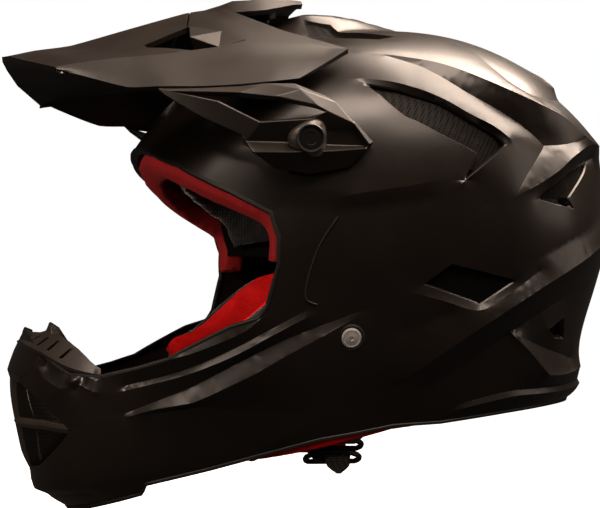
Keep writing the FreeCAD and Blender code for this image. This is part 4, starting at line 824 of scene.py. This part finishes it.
for s, sg in (("left", 1), ("right", -1)):
    lo, hi = sb[s]
    cy, cz = (lo[1]+hi[1])/2/MM, (lo[2]+hi[2])/2/MM
    def lob(th, r):
        if r < 8.0: return r
        k = max(0.0, math.cos(1.5*(th-R(150)))) if False else (0.5+0.5*math.cos(3*(th-R(60))))
        return r-2.3*(1-k**1.3)
    base_ = lathe("knob_base_"+s, [(10.6, 119.6), (11.3, 120.0), (11.3, 122.6), (10.2, 124.6), (8.0, 125.6), (7.6, 125.4)], (0, cy, cz), (sg, 0, 0), 72, lob)
    own(base_, M_KNOB, "screw_black", "peak_screw_"+s, "peak_screw_"+s)
    cap_ = lathe("knob_cap_"+s, [(7.6, 124.4), (7.6, 126.4), (7.25, 126.9), (6.7, 126.9), (6.4, 126.3), (6.3, 125.2), (3.4, 125.0), (3.2, 125.3), (2.6, 125.3), (2.5, 123.6), (0.6, 123.4)], (0, cy, cz), (sg, 0, 0), 60)
    own(cap_, M_DARKSTEEL, "screw_black", "peak_screw_"+s, "peak_screw_"+s)
    disc_ = lathe("knob_disc_"+s, [(6.6, 125.3), (6.2, 125.7), (3.6, 125.9), (3.4, 125.6)], (0, cy, cz), (sg, 0, 0), 48)
    own(disc_, M_DISC, "screw_black", "peak_screw_"+s, "peak_screw_"+s)
tl, th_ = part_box("peak_top_screw")
tcx, tcy, tz = (tl[0]+th_[0])/2/MM, (tl[1]+th_[1])/2/MM, th_[2]/MM
ts = lathe("top_screw_head", [(7.0, tz-3.0), (7.5, tz-2.4), (7.3, tz-0.9), (6.4, tz-0.1), (5.0, tz), (3.2, tz), (2.9, tz-0.4), (2.8, tz-2.0), (0.5, tz-2.2)], (tcx, tcy, 0), (0, 0, 1), 48)
own(ts, M_DISC, "screw_black", "peak_top_screw")

# ------------------------------------------------------------------ rivets
def surf_frame(x, y, z):
    """Smooth-shell point and outward normal nearest to this place on the left side."""
    best = None
    for ph in np.linspace(40, 140, 101):
        ts_ = np.linspace(1, 6, 101); P = base(np.full(101, R(ph)), ts_)
        d = ((P-np.array([x, y, z]))**2)[:, 1:].sum(1); k = int(d.argmin())
        if best is None or d[k] < best[0]: best = (d[k], R(ph), ts_[k])
    _, p, t = best
    return base(np.array([p]), np.array([t]))[0], normal(np.array([p]), np.array([t]))[0]
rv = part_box("strap_rivet_left")
ry, rz = (rv[0][1]+rv[1][1])/2/MM, (rv[0][2]+rv[1][2])/2/MM
Pq, Nq = surf_frame(112, ry, rz)
for s, sg in (("left", 1), ("right", -1)):
    c = (sg*Pq[0], Pq[1], Pq[2]); a = (sg*Nq[0], Nq[1], Nq[2])
    ring = lathe("rivet_ring_"+s, [(7.6, -1.0), (7.7, 0.6), (7.3, 1.5), (6.5, 1.9), (5.7, 1.7), (5.4, 1.0)], c, a, 48)
    own(ring, M_BLACKP, "black_plastic", "helmet", "strap_rivet_ring_"+s)
    head = lathe("rivet_head_"+s, [(5.5, 0.4), (5.5, 1.6), (5.2, 2.1), (4.4, 2.45), (4.1, 2.3), (2.9, 2.45), (1.2, 2.7), (1.0, 2.4)], c, a, 48)
    own(head, M_RIVET, "steel", "helmet", "strap_rivet_"+s)

# ------------------------------------------------------- nose guard and mouth
def sp(phi, t, off=0.0):
    """Point on the smooth shell in mm; phi may be negative for the right side."""
    p = base(np.array([R(abs(phi))]), np.array([t]))[0]; n = normal(np.array([R(abs(phi))]), np.array([t]))[0]
    q = p+n*off
    return (q[0] if phi >= 0 else -q[0], q[1], q[2])
def lerp_tab(tab, x):
    return [float(np.interp(x, [r[0] for r in tab], [r[k] for r in tab])) for k in range(1, len(tab[0]))]
def loft_sections(name, secs, close_ends=True):
    n = len(secs[0]); V = [p for s_ in secs for p in s_]; F = []
    for i in range(len(secs)-1):
        for j in range(n):
            F.append((i*n+j, i*n+(j+1) % n, (i+1)*n+(j+1) % n, (i+1)*n+j))
    if close_ends: F.append(tuple(range(n))[::-1]); F.append(tuple(range((len(secs)-1)*n, len(secs)*n)))
    ob = mesh_obj(name, V, F)
    bm = bmesh.new(); bm.from_mesh(ob.data); bmesh.ops.recalc_face_normals(bm, faces=bm.faces); bm.to_mesh(ob.data); bm.free()
    return ob
# (phi, t of the lower edge, t of the upper edge)
NG = [(0,3.66,3.90),(8.7,3.64,3.88),(16,3.55,3.85),(23.3,3.42,3.78),(28.1,3.28,3.70),(33,3.12,3.50),(37.2,3.00,3.30),(41.4,2.90,3.04),(43,2.87,2.96)]
secs = []
for ph in np.linspace(-42.5, 42.5, 57):
    tl_, tu_ = lerp_tab(NG, abs(ph)); e = min(1.0, (42.6-abs(ph))/9); k_ = max(0.0, 1-abs(ph)/26)
    secs.append([sp(ph, tl_-0.08, 0.1), sp(ph, tl_, 1.2*e+0.5), sp(ph, tu_, -2.2*e-3.4*k_), sp(ph, tu_-0.04, -5.0*e-1.0-3.4*k_), sp(ph, tl_-0.1, -5.0*e-1.0-1.5*k_)])
guard = loft_sections("nose_guard_shell", secs)
cutters = []
for s in (1, -1):
    for k, ph in enumerate((15.0, 20.4, 26.0, 31.6)):
        tl_, tu_ = lerp_tab(NG, ph); d = tu_-tl_
        q = [(ph-1.7, tl_+0.30*d), (ph-0.5, tl_+0.26*d), (ph+1.8, tl_+0.70*d), (ph+0.6, tl_+0.76*d)]
        dl_ = -2.2-1.9*max(0.0, 1-ph/26); lo_ = [sp(s*a, b, dl_) for a, b in q]; hi_ = [sp(s*a, b, 6.0) for a, b in q]
        c = mesh_obj("cslot", lo_+hi_, [(0,1,2,3),(7,6,5,4)]+[(i, 4+i, 4+(i+1) % 4, (i+1) % 4) for i in range(4)])
        bm = bmesh.new(); bm.from_mesh(c.data); bmesh.ops.recalc_face_normals(bm, faces=bm.faces); bm.to_mesh(c.data); bm.free()
        cutters.append(c)
cut(guard, cutters); sharpen(guard.data, 24); bevel(guard, 0.45, 2, 28)
# dark rubber of the guard, bar and ribs, made lighter than the black shell: partly its own colour, partly painted
# highlight for the lit chin facets
M_GUARD_PAINTED_HIGHLIGHT = plastic("guard_rubber_painted_highlight", (0.034, 0.027, 0.022), 0.40, 0.05, 0.3, 0.15, 1200)
own(guard, M_GUARD_PAINTED_HIGHLIGHT, "trim_rubber", "helmet", "nose_guard")
# raised nub on the midline
nub = []
for x, w_ in ((-15, 0.0), (-11, 0.75), (-5, 1.0), (5, 1.0), (11, 0.75), (15, 0.0)):
    d_ = 5.0*(1-w_)
    nub.append([(x, -187.0+1.5*(1-w_), -60.0), (x, -187.5+1.5*(1-w_), -54.0-d_*0.6), (x, -182.2, -52.3-d_), (x, -180.3, -47.4-d_*1.3), (x, -175.4, -50.6-d_), (x, -167.0, -63.5-d_*0.3), (x, -171.0, -69.0)])
nb_ = loft_sections("nose_guard_nub", nub); sharpen(nb_.data, 24); bevel(nb_, 0.5, 2, 24)
own(nb_, M_GUARD_PAINTED_HIGHLIGHT, "trim_rubber", "helmet", "nose_guard")

def mirror_loop(lp):
    return lp+[(-a, b) for a, b in lp[::-1] if a > 1e-6]
ml = mirror_loop([(0,2.93),(6,2.92),(12.9,2.87),(19.3,2.66),(23.8,2.44),(28.1,2.18),(32.0,1.91),(30.4,1.81),(23.8,1.57),(13.7,1.34),(0,1.30)])
def shrink(lp, k):
    cx, cy = 0.0, 2.12
    return [(a*k, cy+(b-cy)*k) for a, b in lp]
V = []; rings = [(1.045, -1.6), (1.0, -2.2), (0.93, -5.0), (0.90, -11.0)]
for k, off in rings:
    V += [sp(a, b, off) for a, b in shrink(ml, k)]
n_ = len(ml); F = []
for i in range(len(rings)-1):
    for j in range(n_): F.append((i*n_+j, i*n_+(j+1) % n_, (i+1)*n_+(j+1) % n_, (i+1)*n_+j))
tun = mesh_obj("mouth_tunnel", V, F)
md = tun.modifiers.new("wall", "SOLIDIFY"); md.thickness = 0.0016; md.offset = 0
sharpen(tun.data, 30)
own(tun, M_BLACKP, "black_plastic", "helmet", "mouth_vent_frame")
# mesh panel just behind the frame
V = []; ks = (1.02, 0.8, 0.6, 0.4, 0.2)
for k in ks: V += [sp(a, b, -2.4) for a, b in shrink(ml, k)]
V.append(sp(0, 2.12, -2.4)); n_ = len(ml); F = []
for i in range(len(ks)-1):
    for j in range(n_): F.append((i*n_+j, i*n_+(j+1) % n_, (i+1)*n_+(j+1) % n_, (i+1)*n_+j))
F += [((len(ks)-1)*n_+j, (len(ks)-1)*n_+(j+1) % n_, len(V)-1) for j in range(n_)]
mp_ = mesh_obj("mouth_mesh_panel", V, F)
md = mp_.modifiers.new("wall", "SOLIDIFY"); md.thickness = 0.0010; md.offset = 0; md.use_even_offset = False
for p in mp_.data.polygons: p.use_smooth = True
own(mp_, M_MESH, "mesh_black", "helmet", "mouth_vent_mesh")
# cross bar and the two pairs of upright ribs
secs = []
for ph in np.linspace(-31.5, 31.5, 33):
    tc_ = float(np.interp(abs(ph), [0, 12, 22, 31.5], [2.10, 2.08, 2.02, 1.90])); e = 1-0.55*(abs(ph)/31.5)**2
    secs.append([sp(ph, tc_-0.07, -1.0), sp(ph, tc_+0.02, 1.4*e), sp(ph, tc_+0.11, 0.4), sp(ph, tc_+0.10, -7.0), sp(ph, tc_-0.08, -7.0)])
bar = loft_sections("mouth_bar", secs); sharpen(bar.data, 24); bevel(bar, 0.5, 2, 24)
own(bar, M_GUARD_PAINTED_HIGHLIGHT, "black_plastic", "helmet", "mouth_vent_frame")
secs = []
for t_ in np.linspace(1.26, 2.98, 15):
    h_ = float(np.interp(t_, [1.26, 1.6, 2.6, 2.98], [-2.0, 0.2, 1.0, 1.2]))
    secs.append([sp(1.1, t_, h_-0.2), sp(0.25, t_, h_+0.3), sp(-0.25, t_, h_+0.3), sp(-1.1, t_, h_-0.2), sp(-1.3, t_, -5.0), sp(1.3, t_, -5.0)])
mr_ = loft_sections("mouth_rib_middle", secs); sharpen(mr_.data, 30); bevel(mr_, 0.3, 1, 30)
own(mr_, M_GUARD_PAINTED_HIGHLIGHT, "black_plastic", "helmet", "mouth_vent_frame")
for s in (1, -1):
    for nm, (p0, t0, p1, t1) in {"up": (13.5, 2.82, 17.0, 2.12), "down": (17.0, 1.95, 15.0, 1.45)}.items():
        secs = []
        for f in np.linspace(0, 1, 9):
            ph = p0+(p1-p0)*f; t_ = t0+(t1-t0)*f; wd = 0.9+1.0*math.sin(math.pi*f)
            secs.append([sp(s*(ph-wd), t_, -6.0), sp(s*(ph-0.2), t_, -1.6), sp(s*(ph+wd), t_, -5.0), sp(s*ph, t_, -8.5)])
        rb = loft_sections("mouth_rib_%s_%s" % (nm, "left" if s > 0 else "right"), secs); sharpen(rb.data, 24); bevel(rb, 0.3, 1, 24)
        own(rb, M_GUARD_PAINTED_HIGHLIGHT, "black_plastic", "helmet", "mouth_vent_frame")
# panel joint in front of the cheek: a thin dark seam
def seam(name, path, rad=0.55, m=None, side=1):
    cu = bpy.data.curves.new(name+"_curve", "CURVE"); cu.dimensions = "3D"; cu.bevel_depth = rad*MM; cu.bevel_resolution = 2
    spn = cu.splines.new("NURBS"); spn.points.add(len(path)-1)
    for q, (a, b, h) in zip(spn.points, path):
        p = sp(side*a, b, h); q.co = (p[0]*MM, p[1]*MM, p[2]*MM, 1)
    spn.order_u = 3; spn.use_endpoint_u = True
    cu.use_fill_caps = True
    tmp = bpy.data.objects.new(name+"_c", cu); bpy.context.scene.collection.objects.link(tmp)
    bpy.context.view_layer.update()
    me = bpy.data.meshes.new_from_object(tmp.evaluated_get(bpy.context.evaluated_depsgraph_get()))
    bpy.data.objects.remove(tmp)
    ob = bpy.data.objects.new(name, me); bpy.context.scene.collection.objects.link(ob)
    for p in me.polygons: p.use_smooth = True
    return own(ob, m or M_BLACKP, "black_plastic", "helmet")
SEAM = [(81.3,5.42,-0.2),(80.6,5.2,-0.1),(79.7,4.9,-0.1),(79.2,4.4,-0.1),(79.1,4.0,0.1),(79.6,3.82,0.4),(81.2,3.75,0.6)]
seam("cheek_seam_left", SEAM, 0.5); seam("cheek_seam_right", SEAM, 0.5, side=-1)

# ------------------------------------------------------------- edge trims
def ring_loft(name, rows, m, slot, *nodes):
    n = len(rows); k = len(rows[0]); V = [p for r_ in rows for p in r_]; F = []
    for i in range(n):
        for j in range(k): F.append((i*k+j, i*k+(j+1) % k, ((i+1) % n)*k+(j+1) % k, ((i+1) % n)*k+j))
    ob = mesh_obj(name, V, F)
    bm = bmesh.new(); bm.from_mesh(ob.data); bmesh.ops.recalc_face_normals(bm, faces=bm.faces); bm.to_mesh(ob.data); bm.free()
    sharpen(ob.data, 40); bevel(ob, 0.35, 2, 40)
    return own(ob, m, slot, "helmet", *nodes)
eye_full = EYE_LOOP[:]+[(-a, b) for a, b in EYE_LOOP[::-1] if a > 1e-6]
eye_dense = [(a, b) for a, b, h in resample([(a, b, 0) for a, b in eye_full], 3.0, True)]
outer_ = inset(eye_dense, -0.9); inner_ = inset(eye_dense, 0.7)
rows = [[sp(o_[0], o_[1], 0.5), sp(i_[0], i_[1], 0.5), sp(i_[0], i_[1], -4.4), sp(o_[0], o_[1], -4.4)] for o_, i_ in zip(outer_, inner_)]
ring_loft("eyeport_edge", rows, M_BLACKP, "trim_rubber", "eyeport_trim")
rows = []
for ph in np.linspace(-180, 178, 180):
    tr = float(rim_t(ph)); p1 = sp(ph, tr, 0.6); p2 = sp(ph, tr, -3.8)
    rows.append([sp(ph, tr+0.07, 0.4), (p1[0], p1[1], p1[2]-0.9), (p2[0], p2[1], p2[2]-0.9), sp(ph, tr+0.07, -3.8)])
ring_loft("base_edge", rows, M_BLACKP, "trim_rubber", "base_trim")

# ------------------------------------------------------ carried-over CAD nodes
for n, o in NODES.items():
    m = M_BLACKP
    if n in ("eyeport_trim", "base_trim"): m = M_RUBBER
    elif "mesh" in n: m = M_MESH
    elif n.startswith("eps"): m = M_FOAM
    elif n.startswith("d_ring"): m = M_RINGS
    elif n.startswith("peak_t_nut") or n == "peak_top_t_nut": m = M_DARKSTEEL
    elif n.startswith("chin_strap") : m = M_WEB
    elif n == "strap_tail": m = M_WEB
    elif n == "peak": m = M_PEAK
    # inserts get the painted hole shade
    elif "insert" in n: m = M_HOLE_SHADE
    elif n in ("nose_guard", "mouth_vent_frame"): m = M_BLACKP
    put(o, m)
for n in ("nose_guard", "mouth_vent_frame", "peak_top_boss"):
    bevel(NODES[n], 0.5, 2, 30)

# ---------------------------------------------------------------- soft goods
def plump(name, node, m, slot, body="helmet", grow=2.5, voxel=4.5, pressure=4.0, shrink=0.8, keep_frac=1.0):
    """Padded piece: the CAD solid remeshed, blown up as cloth, kept within grow mm of where it was, then subdivided."""
    src = NODES[node]
    me = src.data.copy(); me.name = name+"_mesh"
    ob = bpy.data.objects.new(name, me); bpy.context.scene.collection.objects.link(ob)
    md = ob.modifiers.new("r", "REMESH"); md.mode = "VOXEL"; md.voxel_size = voxel*MM; md.use_smooth_shade = True
    md2 = ob.modifiers.new("s", "SMOOTH"); md2.iterations = 3; md2.factor = 0.5
    settle(ob)
    # slightly smaller to start from
    me = ob.data; n = len(me.vertices)
    co = np.empty(n*3); me.vertices.foreach_get("co", co); co = co.reshape(-1, 3)
    no = np.empty(n*3); me.vertices.foreach_get("normal", no); no = no.reshape(-1, 3)
    co0 = co-no*shrink*MM
    me.vertices.foreach_set("co", co0.ravel()); me.update()
    cm = ob.modifiers.new("cloth", "CLOTH"); st = cm.settings
    st.use_pressure = True; st.uniform_pressure_force = pressure; st.effector_weights.gravity = 0
    st.quality = 4; st.tension_stiffness = 20; st.compression_stiffness = 20; st.bending_stiffness = 1.0
    st.mass = 0.3
    cm.point_cache.frame_start = 1; cm.point_cache.frame_end = 20
    sc = bpy.context.scene
    for f in range(1, 21): sc.frame_set(f)
    dg = bpy.context.evaluated_depsgraph_get(); e = ob.evaluated_get(dg).to_mesh()
    c1 = np.empty(n*3); e.vertices.foreach_get("co", c1); c1 = c1.reshape(-1, 3)
    ob.evaluated_get(dg).to_mesh_clear()
    sc.frame_set(1)
    ob.modifiers.clear()
    d = c1-co0; l = np.linalg.norm(d, axis=1, keepdims=True)
    co0 = co0+d*np.minimum(1, grow*MM/np.maximum(l, 1e-9))
    me.vertices.foreach_set("co", co0.ravel()); me.update()
    ob.modifiers.new("sub", "SUBSURF").levels = 1; ob.modifiers["sub"].render_levels = 1
    for p in me.polygons: p.use_smooth = True
    own(ob, m, slot, body, node)
    return ob
soft = {}
for s in ("left", "right"):
    soft["cush_"+s] = plump("cheek_cushion_"+s, "cheek_pad_cushion_"+s, M_RED, "red_fabric", "cheek_pad_"+s, grow=2.0)
    soft["core_"+s] = plump("cheek_core_"+s, "cheek_pad_core_"+s, M_BLACKF, "black_fabric", "cheek_pad_"+s, grow=0.8, voxel=4.0)
    soft["hem_"+s] = plump("cheek_hem_"+s, "cheek_pad_hem_"+s, M_RED, "red_fabric", "cheek_pad_"+s, grow=1.0, voxel=3.0, shrink=0.4)
HB = [(57,0.60),(60,0.43),(64,0.36),(67,0.30),(70,0.22),(74,0.12),(80,0.02),(85,0.0),(90,0.01),(94,0.02),(98,0.04),(102,0.12),(106,0.40)]
for s, sg in (("left", 1), ("right", -1)):
    secs = []
    for ph in np.linspace(57, 106, 50):
        tb = float(np.interp(ph, [q[0] for q in HB], [q[1] for q in HB])); o_ = 0.12*math.sin(ph*9.0)
        secs.append([sp(sg*ph, 1.0, -3.7), sp(sg*ph, tb+0.12, -3.5+o_), sp(sg*ph, tb, -4.2+o_), sp(sg*ph, tb+0.10, -5.2), sp(sg*ph, 1.0, -5.6)])
    hs = loft_sections("cheek_hem_strip_"+s, secs)
    for p in hs.data.polygons: p.use_smooth = True
    own(hs, M_RED, "red_fabric", "cheek_pad_"+s, "cheek_pad_hem_"+s)
    soft["strip_"+s] = hs
# the brow roll gets the darker red copy, a painted shade under the peak
soft["brow"] = plump("brow_roll", "brow_pad", M_RED_PAINTED_SHADE, "red_fabric", grow=1.5, voxel=3.2)
soft["crown"] = plump("crown_liner", "crown_comfort_liner", M_BLACKMESH, "black_fabric", grow=1.5, voxel=4.0)
soft["neck"] = plump("neck_roll_pad", "neck_roll", M_BLACKF, "black_fabric", grow=1.5, voxel=3.5)
soft["throat"] = plump("throat_pad", "strap_throat_pad", M_RED, "red_fabric", grow=0.8, voxel=2.2, shrink=0.3)

# ------------------------------------------------------------------- stage
floor_col = bpy.data.collections.new("floor_only")
bpy.context.scene.collection.children.link(floor_col)
def add_floor():
    z = CAD_BOX[0][2]-0.06
    s = 14.0
    me = bpy.data.meshes.new("floor")
    me.from_pydata([(-s, -s, z), (s, -s, z), (s, s, z), (-s, s, z)], [], [(0, 1, 2, 3)])
    o = bpy.data.objects.new("floor", me); bpy.context.scene.collection.objects.link(o); floor_col.objects.link(o)
    m, nt, b = mat("floor_pale")
    tc = nt.nodes.new("ShaderNodeTexCoord"); n1 = tex(nt, "ShaderNodeTexNoise", Scale=3.0, Detail=3.0)
    nt.links.new(tc.outputs["Object"], n1.inputs["Vector"])
    cr = ramp(nt, [(0.3, (0.86, 0.86, 0.86)), (0.7, (0.88, 0.88, 0.88))])
    nt.links.new(n1.outputs["Fac"], cr.inputs["Fac"]); nt.links.new(cr.outputs["Color"], b.inputs["Base Color"])
    b.inputs["Roughness"].default_value = 0.95; b.inputs["Specular IOR Level"].default_value = 0.0
    me.materials.append(m); o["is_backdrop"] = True
    o.visible_glossy = False; o.visible_diffuse = False
    return o
floor = add_floor()
def area(name, loc, size, power, col=(1, 1, 1), tgt=(0, 0, 0), sy=None):
    d = bpy.data.lights.new(name, "AREA"); d.energy = power; d.size = size; d.color = col
    if sy: d.shape = "RECTANGLE"; d.size_y = sy
    o = bpy.data.objects.new(name, d); bpy.context.scene.collection.objects.link(o)
    o.location = loc; o.rotation_mode = "QUATERNION"
    o.rotation_quaternion = (Vector(tgt)-Vector(loc)).to_track_quat("-Z", "Y")
    return o
WARM = (1.0, 0.80, 0.66)
area("key_rear", (-0.25, 0.75, 1.25), 1.3, 58, WARM, sy=1.1)
area("side_over", (0.75, -0.1, 1.3), 0.5, 9, WARM)
area("side_high", (0.9, 0.45, 1.2), 0.8, 9.0, WARM)
area("front_top", (0.55, -0.75, 1.25), 0.8, 7.5, WARM)
sd = bpy.data.lights.new("chin_spot", "SPOT"); sd.energy = 17; sd.color = WARM; sd.spot_size = math.radians(21); sd.spot_blend = 1.0; sd.shadow_soft_size = 0.12
so_ = bpy.data.objects.new("chin_spot", sd); bpy.context.scene.collection.objects.link(so_); so_.location = (0.65, -0.85, 0.14); so_.rotation_mode = "QUATERNION"
so_.rotation_quaternion = (Vector((0.05, -0.165, -0.085))-Vector((0.65, -0.85, 0.14))).to_track_quat("-Z", "Y")
area("rear_low", (0.5, 1.6, 0.35), 0.8, 2.6, WARM)
lining = bpy.data.collections.new("lining_only"); bpy.context.scene.collection.children.link(lining)
for o in soft.values(): lining.objects.link(o)
lf = area("lining_fill", (0.75, -1.35, -0.15), 0.6, 30, (1, 0.86, 0.76)); lf.light_linking.receiver_collection = lining
sun = bpy.data.lights.new("floor_light", "SUN"); sun.energy = 3.75; sun.angle = math.radians(50)
so = bpy.data.objects.new("floor_light", sun); bpy.context.scene.collection.objects.link(so)
so.light_linking.receiver_collection = floor_col
w = bpy.data.worlds.new("world"); bpy.context.scene.world = w; w.use_nodes = True
nt = w.node_tree; bg = nt.nodes["Background"]; out = nt.nodes["World Output"]
lp = nt.nodes.new("ShaderNodeLightPath"); bg2 = nt.nodes.new("ShaderNodeBackground"); mx = nt.nodes.new("ShaderNodeMixShader")
bg.inputs["Color"].default_value = (1, 0.86, 0.76, 1); bg.inputs["Strength"].default_value = 0.03
bg2.inputs["Color"].default_value = (1, 1, 1, 1); bg2.inputs["Strength"].default_value = 1.0
nt.links.new(lp.outputs["Is Camera Ray"], mx.inputs["Fac"]); nt.links.new(bg.outputs["Background"], mx.inputs[1])
nt.links.new(bg2.outputs["Background"], mx.inputs[2]); nt.links.new(mx.outputs["Shader"], out.inputs["Surface"])
bpy.context.scene.view_settings.view_transform = "Standard"

bpy.context.view_layer.update()
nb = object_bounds()
